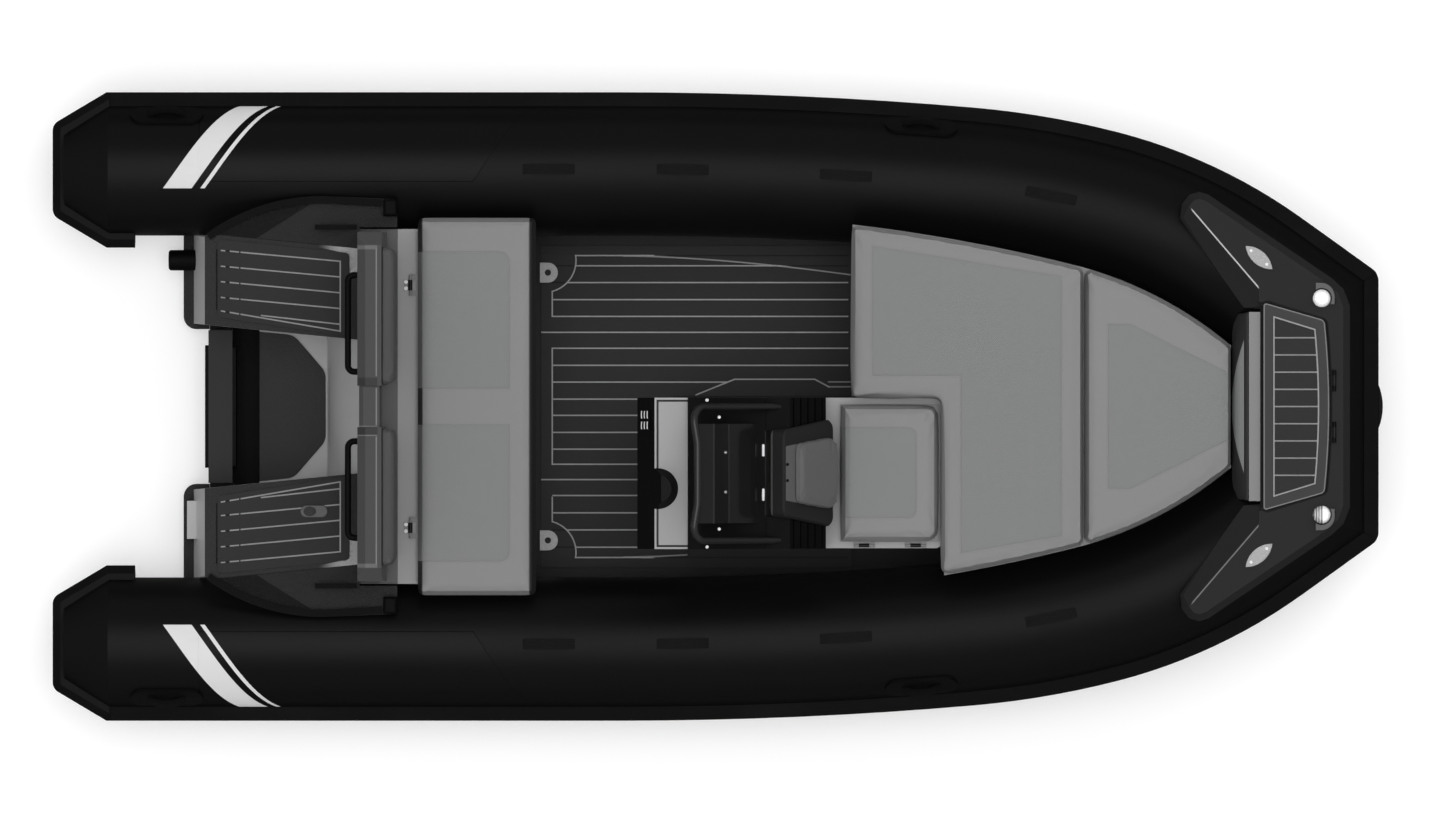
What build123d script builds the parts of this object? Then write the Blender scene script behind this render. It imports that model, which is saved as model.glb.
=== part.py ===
from build123d import *
import os
from math import atan2, cos, radians, sin, sqrt, tan

# Rigid-hulled inflatable boat, floating.
# Millimetres: +X to the bow, +Y to port, +Z up, origin on the waterline amidships.

# Buoyancy tubes
tube_radius = 230.0
tube_spread = 829.0
tube_height = 265.0
tube_top_z = tube_height + tube_radius
tube_end_x = -2131.0
bend_start_x = -343.0
bow_axis_x = 2038.0
cone_length = 158.0
cone_end_radius = tube_radius - 94.0
# Columns: share of the way from the first bend to the bow tube, draw-in, rise
tube_bends = ((0.5111, 53.0, 18.0), (0.7056, 133.0, 48.0), (0.9332, 388.0, 107.0))

# Rubbing strake round the tubes
strake_proud = 42.0
strake_root = 120.0
strake_crest = 64.0
strake_corner = 40.0
strake_return_x = tube_end_x + 87.0
nose_round = 70.0

# Fits between pieces
glue_gap = 0.3
lid_gap = 0.3
pin_play = 0.3
hinge_play = 0.6
edge_gap = 6.0

# Straps and handles on the tubes
strap_length = 182.0
strap_width = 35.0
strap_thick = 5.0
strap_rise = 26.0
strap_stations = (-591.0, -122.0, 451.0, 1179.0)
handle_stations = (tube_end_x + 203.0, 700.0)
handle_angle = 36.0
bow_handle_angle = 32.0
handle_length = 252.0
handle_width = 84.0
handle_base = 9.0
grip_length = 150.0
grip_rise = 40.0
grip_thick = 13.0
grip_depth = 28.0

# Hull and deck
transom_x = tube_end_x + 427.0
transom_thick = 84.0
deck_z = 54.0
deck_thick = 6.0
deck_half_width = tube_spread - 139.0
# Columns: x, keel z, chine y, chine z, sheer y, sheer z
hull_sections = (
    (transom_x, -300.0, tube_spread - 229.0, -92.0, tube_spread - 69.0, 75.0),
    (bow_axis_x - 1538.0, -300.0, tube_spread - 239.0, -80.0, tube_spread - 89.0, 90.0),
    (bow_axis_x - 838.0, -225.0, tube_spread - 359.0, -25.0, tube_spread - 169.0, 140.0),
    (bow_axis_x - 398.0, -60.0, tube_spread - 559.0, 60.0, tube_spread - 349.0, 190.0),
    (bow_axis_x - 98.0, 175.0, 30.0, 190.0, 90.0, 215.0),
)
keel_flat = 20.0
chine_flat = 45.0
chine_lift = 8.0
# Shares of the way from keel to chine where each lifting strake starts
lifting_strakes = (0.3, 0.62)
lifting_strake_share = 0.08

# Stern modules with boarding platforms
module_back_x = tube_end_x + 283.0
module_lean = 56.0
module_front_x = module_back_x + 595.0
well_rear_half_width = 292.0
well_front_half_width = 233.0
platform_z = tube_top_z - 11.0
platform_thick = 14.0
platform_rear_outer_y = tube_spread - 236.0
platform_hip_x = module_front_x - 77.0
platform_hip_y = tube_spread - 96.0
platform_front_x = module_front_x + 133.0
platform_front_y = tube_spread - 105.0
platform_bow_out = 42.0
step_back_x = module_back_x - 31.0
step_inner_y = well_rear_half_width - 20.0
step_z = 62.0
step_thick = 28.0
step_corner = 45.0
lip_width = 26.0
lip_height = 12.0
lip_block_length = 48.0
lip_block_width = 60.0
lip_block_height = 30.0
trunk_radius = 36.0
trunk_length = 98.0
trunk_y = tube_spread - 315.0
plate_y = -398.0
plate_width = 133.0
plate_height = 90.0
plate_thick = 16.0
filler_x = module_front_x - 157.0
filler_y = -366.0
filler_length = 95.0
filler_width = 42.0
filler_thick = 7.0
filler_cap_radius = 15.0

# Motor well and transom
transom_top_z = 210.0
transom_board_half_width = well_rear_half_width - 24.0
pad_half_width = 215.0
pad_thick = 12.0
pad_bottom_z = -70.0
bolt_radius = 6.5
upper_bolt_z = 165.0
upper_bolt_spacing = 327.0
lower_bolt_drop = 203.0
lower_bolt_spacing = 251.0
nut_pocket_radius = 22.0
nut_pocket_depth = 70.0
trough_front_x = transom_x + 94.0
well_floor_z = 150.0
well_bend_x = transom_x + 214.0
well_ramp_x = transom_x + 332.0
well_lip_half_width = 121.0
well_corner = 60.0
liner_thick = 4.0

# Stern bench
bench_front_x = module_front_x + 603.0
bench_half_width = tube_spread - 239.0
bench_top_z = 432.0
bench_wall = 22.0
bench_floor = 20.0
ledge_half_width = bench_half_width + 30.0
ledge_thick = 32.0
lid_thick = 14.0
lid_rear_x = module_front_x + 197.0
lid_half_width = ledge_half_width - 8.0
cushion_rear_x = lid_rear_x + 6.0
cushion_front_x = bench_front_x + 16.0
cushion_half_width = ledge_half_width + 40.0
cushion_thick = 80.0
cushion_corner = 22.0
hinge_x = lid_rear_x - 18.0
hinge_y = 424.0
hinge_lift = 8.0
barrel_radius = 6.5
pin_radius = 3.0
barrel_length = 36.0
leaf_thick = 3.0

# Backrest behind the bench
backrest_front_x = module_front_x + 98.0
backrest_foot_x = module_front_x + 81.0
backrest_top_z = bench_top_z + 358.0
backrest_half_width = tube_spread - 222.0
backrest_waist_z = bench_top_z + 128.0
backrest_joint_y = 72.0
backrest_joint_step = 7.0
backrest_end_chamfer = 46.0
backrest_pad_thick = 34.0
backrest_pad_inner_y = backrest_joint_y + 3.0
backrest_pad_outer_y = backrest_half_width - 51.0
backrest_pad_z = backrest_waist_z + 15.0
backrest_pad_top_z = backrest_top_z - 25.0
backrest_pad_corner = 30.0
grab_inner_y = 121.0
grab_outer_y = 457.0
grab_reach = 34.0
grab_radius = 11.0
grab_z = backrest_top_z - 90.0

# Console
console_y = -232.0
console_width = 525.0
console_wall_x = -150.0
console_face_x = console_wall_x + 314.0
dash_rear_x = console_wall_x - 130.0
dash_front_x = console_wall_x - 70.0
dash_thick = 26.0
console_top_z = 855.0
console_brow_x = console_wall_x + 90.0
hood_rear_x = console_wall_x + 45.0
hood_thick = 14.0
console_shoulder_z = console_top_z - 55.0
dash_drop = 50.0
seat_base_z = 495.0
seat_base_front_x = console_wall_x + 934.0
console_wall = 22.0
console_round = 26.0
seat_rear_x = seat_base_front_x - 358.0
seat_front_x = seat_base_front_x - 14.0
seat_half_width = console_width / 2 - 22.5
seat_thick = 76.0
seat_corner = 44.0
seat_hinge_stations = (seat_rear_x + 84.0, seat_rear_x + 264.0)

# Dash fittings: gauge cowl and switch panel
cowl_y = -285.0
cowl_half_width = 70.0
cowl_length = 82.0
cowl_height = 40.0
cowl_taper = 30.0
switch_y = -47.0
panel_length = 74.0
panel_width = 46.0
panel_thick = 3.0
rocker_length = 26.0
rocker_width = 9.0
rocker_pitch = 13.0

# Steering
wheel_radius = 150.0
rim_radius = 13.0
wheel_x = console_wall_x - 64.0
wheel_y = -285.0
wheel_z = 640.0
hub_radius = 34.0
hub_thick = 30.0
spoke_width = 24.0
spoke_thick = 8.0
column_radius = 24.0

# Windscreen and rail over the console
screen_half_width = console_width / 2 - 90.5
screen_thick = 6.0
# Columns: place in front of the console wall, height above the console top
screen_folds = ((306.0, -65.0), (188.0, 105.0), (136.0, 167.0), (80.0, 215.0))
bracket_top_x = console_face_x + 86.0
bracket_tip_x = console_face_x + 212.0
bracket_tip_z = 600.0
bracket_ribs = 5
bracket_groove = 10.0
bracket_groove_depth = 7.0
rail_radius = 12.5
rail_foot_x = console_face_x + 58.0
rail_foot_z = console_shoulder_z - 20.0
rail_top_x = console_wall_x + 60.0
rail_top_z = console_top_z + 245.0
rail_half_width = console_width / 2 - 30.5
rail_bow = 20.0
rail_bow_half_width = rail_half_width - 128.0
rail_bend = 55.0
strut_radius = 7.0
# Columns: place in front of the console wall where a strut stands, where it meets the rail
rail_struts = ((100.0, 205.0), (240.0, 150.0))

# Seat back on the front of the console
back_foot_x = console_face_x + 240.0
back_foot_z = seat_base_z + 87.0
back_lean = 32.0
back_height = 330.0
back_half_width = console_width / 2 - 73.5
back_top_half_width = back_half_width - 39.0
back_thick = 62.0
back_round = 34.0
back_pad_thick = 22.0
back_pad_low = 14.0
back_pad_high = back_height - 72.0
back_pad_half_width = back_half_width - 61.0
back_pad_top_half_width = back_top_half_width - 46.0

# Bow deck
bow_deck_front_x = bow_axis_x + 160.0
bow_deck_rear_x = bow_deck_front_x - 576.0
bow_deck_step_x = bow_deck_front_x - 310.0
bow_deck_rear_z = tube_top_z + 145.0
bow_deck_slope = 7.8
bow_deck_bevel = 24.0
# Columns: distance behind the deck's front, y of its port outline from the step round to the bow
bow_deck_outline = (
    (310.0, 0.0),
    (310.0, 340.0),
    (368.0, 345.0),
    (588.0, 655.0),
    (582.0, 705.0),
    (556.0, 738.0),
    (522.0, 748.0),
    (490.0, 738.0),
    (62.0, 446.0),
    (22.0, 408.0),
    (0.0, 350.0),
    (0.0, 0.0),
)
# Columns: distance behind the deck's front, y of the two ends of the crease
bow_crease = ((552.0, 690.0), (316.0, 413.0))
crease_slope = 24.0
crease_reach = 260.0
anchor_lid_rear_x = bow_deck_step_x + 5.0
anchor_lid_front_x = bow_deck_front_x - 67.0
anchor_lid_rear_y = 369.0
anchor_lid_front_y = 300.0
anchor_lid_bow = 16.0
anchor_lid_thick = 12.0
anchor_locker_depth = 58.0
anchor_rebate = 18.0
anchor_hinge_y = 90.0
anchor_mat_border = 40.0
anchor_plank_lines = 9
anchor_plank_pitch = 59.8
bow_cleat_x = bow_deck_step_x - 5.0
bow_cleat_y = 518.0
bow_cleat_turn = 41.0
bow_cleat_length = 124.0
bow_cleat_width = 48.0
bow_cleat_thick = 8.0
lamp_x = bow_deck_front_x - 97.0
lamp_y = 376.0
lamp_radius = 31.0
lamp_height = 34.0
lamp_base_length = 65.0
lamp_base_width = 74.0
lamp_base_reach = 20.0
lamp_base_height = 18.0
lamp_base_round = 48.0
lamp_gap = 5.0

# Bow seating
locker_rear_x = console_wall_x + 620.0
bow_seat_z = tube_top_z + 15.0
bow_cushion_thick = 80.0
bow_seat_front_x = bow_deck_step_x - 98.0
bow_seam_x = bow_seat_front_x - 513.0
locker_step_x = bow_seam_x + 73.0
locker_step_z = 230.0
# Columns: x, y of the seating's port edge
bow_seat_edge = (
    (locker_rear_x - 8.0, tube_spread - 193.0),
    (bow_seam_x, tube_spread - 344.0),
    (bow_seat_front_x, tube_spread - 616.0),
)
bow_aft_bulge = 14.0
bow_fore_bulge = 31.0
bow_cushion_round = 24.0
bow_notch_y = 28.0
bow_back_top_x = bow_deck_step_x - 40.0
bow_back_top_z = bow_deck_rear_z + 15.0
bow_back_half_width = 329.0
bow_pad_top = 12.0

# Cushioned decking: a pale sheet under dark foam with narrow grooves cut through it
mat_sheet = 3.0
mat_groove = 5.0
mat_margin = 12.0
mat_rear_x = bench_front_x + 28.0
mat_half_width = tube_spread - 263.0
panel_rear_x = mat_rear_x + 39.0
# Columns: y of a groove, length clear of the panel's rear edge; none runs to the mat's front edge
floor_grooves = (
    (495.0, None),
    (436.0, None),
    (376.0, None),
    (317.0, None),
    (205.0, None),
    (145.0, None),
    (86.0, 618.0),
    (26.0, 478.0),
    (-31.0, 400.0),
    (-91.0, 400.0),
    (-150.0, 400.0),
    (-203.0, 400.0),
    (-313.0, 400.0),
    (-374.0, 400.0),
    (-434.0, 400.0),
    (-495.0, None),
)
joint_grooves = (261.0, -257.0)
outline_groove_y = 531.0
outline_start = 94.0
panel_corner_y = 405.0
bracket_arc = (71.0, 462.0)
# Columns: distance from the panel's rear edge, y of the groove that goes round the console
console_groove = ((503.0, 40.0), (642.0, 96.0), (923.0, 96.0), (975.0, 68.0))
floor_bracket_x = mat_rear_x + 23.5
floor_bracket_y = 471.0
floor_bracket_length = 63.0
floor_bracket_width = 70.0
floor_bracket_thick = 5.0
floor_bracket_hole = 11.0
# Columns: how far ahead of the others a platform groove starts, y of its aft end, y of its fore end
platform_grooves = (
    (0.0, 545.0, 507.0),
    (0.0, 490.0, 452.0),
    (0.0, 436.0, 397.0),
    (0.0, 381.0, 342.0),
    (140.0, 318.0, 287.0),
    (0.0, 334.0, 263.0),
)
groove_aft_x = module_back_x + 112.0
groove_fore_x = module_front_x - 66.0
# Columns: distance from the module's front, y of the platform mat's corners
platform_mat_corners = ((-34.0, 536.0), (-34.0, 244.0), (-493.0, 313.0), (-493.0, 583.0))
platform_mat_corner = 16.0

# Cleats and eyes
cleat_x = module_front_x - 80.0
cleat_y = tube_spread - 203.0
cleat_length = 147.0
cleat_height = 26.0
cleat_post = 9.0
stern_eye_y = 420.0
stern_eye_z = 12.0
bow_eye_x = bow_axis_x - 238.0
bow_eye_z = 42.0
bow_eye_slope = -50.0
eye_reach = 46.0
eye_radius = 22.0
eye_bore = 12.0
eye_thick = 12.0

os.makedirs("parts", exist_ok=True)


def finish(name, builder):
    """Label a finished piece and write it."""
    builder.part.label = name
    export_step(builder.part, f"parts/{name}.step")


def mirrored(part):
    """The starboard twin of a port piece."""
    return mirror(part, about=Plane.XZ, mode=Mode.PRIVATE)


# Spine of the port tube: straight aft, then bending in and rising to the bow
with BuildLine() as port_spine:
    run = Line((tube_end_x, tube_spread, tube_height), (bend_start_x, tube_spread, tube_height))
    for share, draw_in, rise in tube_bends:
        bend_x = bend_start_x + share * (bow_axis_x - bend_start_x)
        bend_end = (bend_x, tube_spread - draw_in, tube_height + rise)
        run = TangentArc(run @ 1, bend_end, tangent=run % 1)
    bow_corner = run @ 1 + (run % 1) * ((bow_axis_x - (run @ 1).X) / (run % 1).X)
    bow_run = Line(run @ 1, bow_corner)
spine_wire = port_spine.wires()[0]
bow_heading = bow_run % 1
with BuildLine() as long_spine:
    add(port_spine.line)
    Line(bow_corner, bow_corner + bow_heading * (2 * tube_radius))
mitre_port = Plane(origin=bow_corner, z_dir=bow_heading + Vector(0, -1, 0))
bow_axis_z = bow_corner.Z


def spine_station(x):
    """Point and heading of the port spine where it passes x."""
    low, high = 0.0, 1.0
    for _ in range(40):
        middle = (low + high) / 2
        if spine_wire.position_at(middle).X < x:
            low = middle
        else:
            high = middle
    return spine_wire.position_at(low), spine_wire.tangent_at(low)


def tube_surface(x, angle):
    """Plane on the port tube's skin, at an angle above its outboard side."""
    point, heading = spine_station(x)
    outboard = Vector(-heading.Y, heading.X, 0).normalized()
    upward = heading.cross(outboard)
    normal = outboard * cos(radians(angle)) + upward * sin(radians(angle))
    return Plane(origin=point + normal * tube_radius, x_dir=heading, z_dir=normal)


def port_tube(radius):
    """Port tube of a given radius, cut at the bow mitre."""
    with BuildPart() as tube:
        with BuildSketch(Plane(origin=spine_wire @ 0, z_dir=(1, 0, 0))):
            Circle(radius)
        sweep(path=long_spine.wires()[0])
        split(bisect_by=mitre_port, keep=Keep.BOTTOM)
    return tube.part


def bow_tube(radius):
    """Transverse tube at the bow between the two mitres."""
    with BuildPart() as tube:
        with BuildSketch(Plane(origin=(bow_axis_x, 0, bow_axis_z), z_dir=(0, 1, 0))):
            Circle(radius)
        extrude(amount=bow_corner.Y + 2 * tube_radius)
        split(bisect_by=mitre_port, keep=Keep.TOP)
        mirror(about=Plane.XZ)
    return tube.part


def stern_cone(gap):
    """Cone that closes the port tube, grown by a gap."""
    axis_plane = Plane(origin=(0, tube_spread, tube_height), x_dir=(1, 0, 0), z_dir=(0, -1, 0))
    with BuildPart() as cone:
        with BuildSketch(axis_plane):
            with BuildLine():
                Polyline(
                    (tube_end_x, 0),
                    (tube_end_x, tube_radius + gap),
                    (tube_end_x - cone_length - gap, cone_end_radius + gap),
                    (tube_end_x - cone_length - gap, 0),
                    close=True,
                )
            make_face()
        revolve(axis=Axis((0, tube_spread, tube_height), (1, 0, 0)))
    return cone.part


port_clear = port_tube(tube_radius + glue_gap)
starboard_clear = mirrored(port_clear)
bow_clear = bow_tube(tube_radius + glue_gap)

# Air chambers
with BuildPart() as tube_port:
    add(port_tube(tube_radius))
finish("tube_port", tube_port)

with BuildPart() as tube_starboard:
    add(mirrored(tube_port.part))
finish("tube_starboard", tube_starboard)

with BuildPart() as tube_bow:
    add(bow_tube(tube_radius))
finish("tube_bow", tube_bow)

with BuildPart() as stern_cones:
    add(stern_cone(0))
    mirror(about=Plane.XZ)
finish("stern_cones", stern_cones)


def strake_profile(plane):
    """Section of the rubbing strake, seated on the tube's outboard side."""
    seat = tube_radius + glue_gap
    root_u = sqrt(seat**2 - (strake_root / 2) ** 2)
    crest_u = tube_radius + strake_proud
    with BuildSketch(plane) as profile:
        with BuildLine():
            Polyline(
                (root_u, -strake_root / 2),
                (crest_u, -strake_crest / 2),
                (crest_u, strake_crest / 2),
                (root_u, strake_root / 2),
            )
            ThreePointArc((root_u, strake_root / 2), (seat, 0), (root_u, -strake_root / 2))
        make_face()
    return profile.sketch


def stern_strake():
    """Strake carried round the port cone to the tube's inboard side."""
    with BuildPart() as band:
        with BuildSketch(Plane.XY.offset(tube_height - strake_root / 2)) as outline:
            with BuildLine():
                Polyline(
                    (0, tube_spread + tube_radius),
                    (tube_end_x, tube_spread + tube_radius),
                    (tube_end_x - cone_length, tube_spread + cone_end_radius),
                    (tube_end_x - cone_length, tube_spread - cone_end_radius),
                    (tube_end_x, tube_spread - tube_radius),
                    (0, tube_spread - tube_radius),
                    close=True,
                )
            make_face()
            offset(amount=strake_proud, kind=Kind.INTERSECTION)
            fillet(outline.vertices().sort_by(Axis.X)[0:2], strake_corner)
        extrude(amount=strake_root)
        rims = band.faces().filter_by(Axis.Z).edges()
        chamfer(rims, length=(strake_root - strake_crest) / 2)
        add(stern_cone(glue_gap), mode=Mode.SUBTRACT)
        add(port_clear, mode=Mode.SUBTRACT)
        with BuildSketch(Plane.XY):
            with BuildLine():
                Polyline(
                    (tube_end_x, tube_spread),
                    (tube_end_x, 2 * tube_spread),
                    (tube_spread, 2 * tube_spread),
                    (tube_spread, 0),
                    (strake_return_x, 0),
                    (strake_return_x, tube_spread),
                    close=True,
                )
            make_face()
        extrude(amount=2 * tube_height, mode=Mode.SUBTRACT)
    return band.part


def nose_waste():
    """Waste outside the rounded corner between the port strake and the bow strake."""
    crest = tube_radius + strake_proud + glue_gap
    nose_x = bow_axis_x + crest
    along = Vector(bow_heading.X, bow_heading.Y, 0).normalized()
    outboard = Vector(-along.Y, along.X, 0)
    side_crest = Vector(bow_corner.X, bow_corner.Y, 0) + outboard * crest
    corner = side_crest + along * ((nose_x - side_crest.X) / along.X)
    aft_end = corner - along * (2 * nose_round)
    with BuildPart() as waste:
        with BuildSketch():
            with BuildLine():
                edge = FilletPolyline(
                    aft_end, corner, corner - Vector(0, 2 * nose_round, 0), radius=nose_round
                )
                Polyline(
                    edge @ 1,
                    corner + Vector(nose_round, -2 * nose_round, 0),
                    corner + Vector(nose_round, nose_round, 0),
                    aft_end + outboard * nose_round,
                    edge @ 0,
                )
            make_face()
        extrude(amount=2 * bow_axis_z)
    return waste.part


# Rubbing strakes: along the sides and round the cones, and across the bow
port_nose = nose_waste()
with BuildPart() as port_strake:
    strake_start = Plane(origin=spine_wire @ 0, x_dir=(0, 1, 0), z_dir=(1, 0, 0))
    sweep(sections=strake_profile(strake_start), path=long_spine.wires()[0])
    split(bisect_by=mitre_port.offset(-glue_gap / 2), keep=Keep.BOTTOM)
    add(port_nose, mode=Mode.SUBTRACT)
    add(stern_strake())

# The bow strake rolls up a little, so that it meets the level side strakes at the mitres
mitre_normal = mitre_port.z_dir
bow_roll = atan2(2 * mitre_normal.X * mitre_normal.Z, 1 - 2 * mitre_normal.Z**2)
with BuildPart() as bow_strake:
    bow_profile = Plane(
        origin=(bow_axis_x, 0, bow_axis_z), x_dir=(cos(bow_roll), 0, sin(bow_roll)), z_dir=(0, -1, 0)
    )
    extrude(strake_profile(bow_profile), amount=-bow_corner.Y - 2 * tube_radius)
    split(bisect_by=mitre_port.offset(glue_gap / 2), keep=Keep.TOP)
    add(port_nose, mode=Mode.SUBTRACT)
    mirror(about=Plane.XZ)

with BuildPart() as rub_strakes:
    add(port_strake.part)
    mirror(about=Plane.XZ)
    add(bow_strake.part)
finish("rub_strakes", rub_strakes)


def grab_strap(x):
    """Webbing loop on the crown of the port tube."""
    crown = tube_surface(x, 90)
    side = Plane(origin=crown.origin, x_dir=crown.x_dir, z_dir=crown.y_dir)
    foot = strap_length / 2
    with BuildPart() as strap:
        with BuildSketch(side):
            with BuildLine():
                ThreePointArc((-foot, -glue_gap), (0, -strap_rise), (foot, -glue_gap))
                Line((foot, -glue_gap), (foot - strap_thick * 4, -glue_gap))
                ThreePointArc(
                    (foot - strap_thick * 4, -glue_gap),
                    (0, strap_thick - strap_rise),
                    (strap_thick * 4 - foot, -glue_gap),
                )
                Line((strap_thick * 4 - foot, -glue_gap), (-foot, -glue_gap))
            make_face()
        extrude(amount=strap_width / 2, both=True)
    return strap.part


with BuildPart() as grab_straps:
    for station in strap_stations:
        add(grab_strap(station))
    mirror(about=Plane.XZ)
finish("grab_straps", grab_straps)


def carry_handle(plane):
    """Moulded handle: an oval foot that fits the tube and an arched grip."""
    side = Plane(origin=plane.origin, x_dir=plane.x_dir, z_dir=plane.y_dir)
    with BuildPart() as handle:
        with BuildSketch(plane.offset(-tube_radius / 12)):
            SlotOverall(handle_length, handle_width)
        extrude(amount=tube_radius / 12 + handle_base)
        with BuildSketch(side):
            with BuildLine():
                half = grip_length / 2
                ThreePointArc((-half, 0), (0, -grip_rise), (half, 0))
                Line((half, 0), (half - grip_thick, 0))
                ThreePointArc((half - grip_thick, 0), (0, grip_thick - grip_rise), (grip_thick - half, 0))
                Line((grip_thick - half, 0), (-half, 0))
            make_face()
        extrude(amount=grip_depth / 2, both=True)
    return handle.part


# Carry handles on the shoulders of the side tubes, and one under the bow strake
bow_handle_plane = Plane(
    origin=(
        bow_axis_x + tube_radius * cos(radians(bow_handle_angle)),
        0,
        bow_axis_z - tube_radius * sin(radians(bow_handle_angle)),
    ),
    x_dir=(0, 1, 0),
    z_dir=(cos(radians(bow_handle_angle)), 0, -sin(radians(bow_handle_angle))),
)
with BuildPart() as carry_handles:
    for station in handle_stations:
        add(carry_handle(tube_surface(station, handle_angle)))
    add(port_clear, mode=Mode.SUBTRACT)
    add(port_strake.part, mode=Mode.SUBTRACT)
    mirror(about=Plane.XZ)
    with BuildPart(mode=Mode.PRIVATE) as bow_handle:
        add(carry_handle(bow_handle_plane))
        add(bow_clear, mode=Mode.SUBTRACT)
        add(bow_strake.part, mode=Mode.SUBTRACT)
    add(bow_handle.part)
finish("carry_handles", carry_handles)


def hull_half_section(x, keel_z, chine_y, chine_z, sheer_y, sheer_z):
    """Port half of the hull's section at x."""
    with BuildSketch(Plane(origin=(x, 0, 0), x_dir=(0, 1, 0), z_dir=(1, 0, 0))) as half:
        with BuildLine():
            Polyline(
                (0, keel_z),
                (keel_flat, keel_z),
                (chine_y, chine_z),
                (chine_y + chine_flat, chine_z + chine_lift),
                (sheer_y, sheer_z),
                (0, sheer_z),
                close=True,
            )
        make_face()
    return half.sketch


def lifting_section(share, x, keel_z, chine_y, chine_z, sheer_y, sheer_z):
    """Section of a lifting strake on the port bottom, flat below, at a share of its width."""
    inner_y = keel_flat + share * (chine_y - keel_flat)
    outer_y = inner_y + lifting_strake_share * (chine_y - keel_flat)
    rise = (chine_z - keel_z) / (chine_y - keel_flat)
    with BuildSketch(Plane(origin=(x, 0, 0), x_dir=(0, 1, 0), z_dir=(1, 0, 0))) as rail:
        with BuildLine():
            Polyline(
                (inner_y, keel_z + rise * (inner_y - keel_flat)),
                (outer_y, keel_z + rise * (inner_y - keel_flat)),
                (outer_y, keel_z + rise * (outer_y - keel_flat)),
                close=True,
            )
        make_face()
    return rail.sketch


def bow_seat_outline(inset):
    """Plan of the bow seating on the port side, drawn in by an inset, with its twin."""
    (rear_x, rear_y), (seam_x, seam_y), (front_x, front_y) = bow_seat_edge
    with BuildSketch() as plan:
        with BuildLine():
            SagittaArc((rear_x + inset, rear_y - inset), (seam_x, seam_y - inset), bow_aft_bulge)
            SagittaArc((seam_x, seam_y - inset), (front_x - inset, front_y - inset), bow_fore_bulge)
            Polyline(
                (front_x - inset, front_y - inset),
                (front_x - inset, 0),
                (rear_x + inset, 0),
                (rear_x + inset, rear_y - inset),
            )
        make_face()
        mirror(about=Plane.XZ)
    return plan.sketch


# Plated hull with a flat cockpit sole, cut to the tubes that are bonded to it
with BuildPart() as hull:
    loft(sections=[hull_half_section(*row) for row in hull_sections[:2]])
    loft(sections=[hull_half_section(*row) for row in hull_sections[1:]])
    for share in lifting_strakes:
        loft(sections=[lifting_section(share, *row) for row in hull_sections[:2]])
    mirror(about=Plane.XZ)
    with BuildSketch(Plane.XY.offset(deck_z)):
        with Locations((transom_x, 0)):
            Rectangle(
                locker_rear_x - transom_x, 4 * tube_spread, align=(Align.MIN, Align.CENTER)
            )
        add(bow_seat_outline(-glue_gap))
        with Locations((locker_step_x, 0)):
            Rectangle(
                bow_axis_x, 4 * tube_spread, align=(Align.MIN, Align.CENTER), mode=Mode.SUBTRACT
            )
    extrude(amount=tube_height, mode=Mode.SUBTRACT)
    for clear in (port_clear, starboard_clear, bow_clear):
        add(clear, mode=Mode.SUBTRACT)
    lower_bolts = Plane(
        origin=(transom_x, 0, upper_bolt_z - lower_bolt_drop), x_dir=(0, 1, 0), z_dir=(1, 0, 0)
    )
    with BuildSketch(lower_bolts):
        with GridLocations(lower_bolt_spacing, 1, 2, 1):
            Circle(nut_pocket_radius)
    extrude(amount=nut_pocket_depth, mode=Mode.SUBTRACT)
finish("hull", hull)

# Transom with the motor's clamping board and its four bolt holes
with BuildPart() as transom:
    x, keel_z, chine_y, chine_z, sheer_y, sheer_z = hull_sections[0]
    with BuildSketch(Plane(origin=(transom_x, 0, 0), x_dir=(0, 1, 0), z_dir=(1, 0, 0))):
        with BuildLine():
            Polyline(
                (0, keel_z),
                (keel_flat, keel_z),
                (chine_y, chine_z),
                (chine_y + chine_flat, chine_z + chine_lift),
                (chine_y + 2 * chine_flat, deck_z),
                (transom_board_half_width, deck_z),
                (transom_board_half_width, transom_top_z),
                (0, transom_top_z),
                close=True,
            )
        make_face()
        mirror(about=Plane.YZ)
    extrude(amount=-transom_thick)
    for clear in (port_clear, starboard_clear):
        add(clear, mode=Mode.SUBTRACT)
    bolt_rows = (
        (upper_bolt_z, upper_bolt_spacing),
        (upper_bolt_z - lower_bolt_drop, lower_bolt_spacing),
    )
    for row_z, spacing in bolt_rows:
        with BuildSketch(Plane(origin=(transom_x, 0, row_z), x_dir=(0, 1, 0), z_dir=(1, 0, 0))):
            with GridLocations(spacing, 1, 2, 1):
                Circle(bolt_radius)
        extrude(amount=-transom_thick, mode=Mode.SUBTRACT)
finish("transom", transom)

# Columns: face x, foot z, bolt rows that pass through
pad_table = (
    (transom_x - transom_thick - pad_thick, pad_bottom_z, bolt_rows),
    (transom_x, deck_z + liner_thick, bolt_rows[:1]),
)
with BuildPart() as transom_pads:
    for face_x, foot_z, rows in pad_table:
        with BuildSketch(Plane(origin=(face_x, 0, 0), x_dir=(0, 1, 0), z_dir=(1, 0, 0))) as pad:
            with Locations((0, foot_z)):
                Rectangle(
                    2 * pad_half_width, transom_top_z - foot_z, align=(Align.CENTER, Align.MIN)
                )
            fillet(pad.vertices(), pad_thick)
            for row_z, spacing in rows:
                with Locations((-spacing / 2, row_z), (spacing / 2, row_z)):
                    Circle(bolt_radius * 2, mode=Mode.SUBTRACT)
        extrude(amount=pad_thick)
finish("transom_pads", transom_pads)

# Motor well between slanting walls: trough liner, raised floor, and a ramp up to the backrest
well_slant = (well_front_half_width - well_rear_half_width) / (module_front_x - module_back_x)


def well_wall(x):
    """Half-width of the motor well at x."""
    return well_rear_half_width + well_slant * (x - module_back_x)


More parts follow.
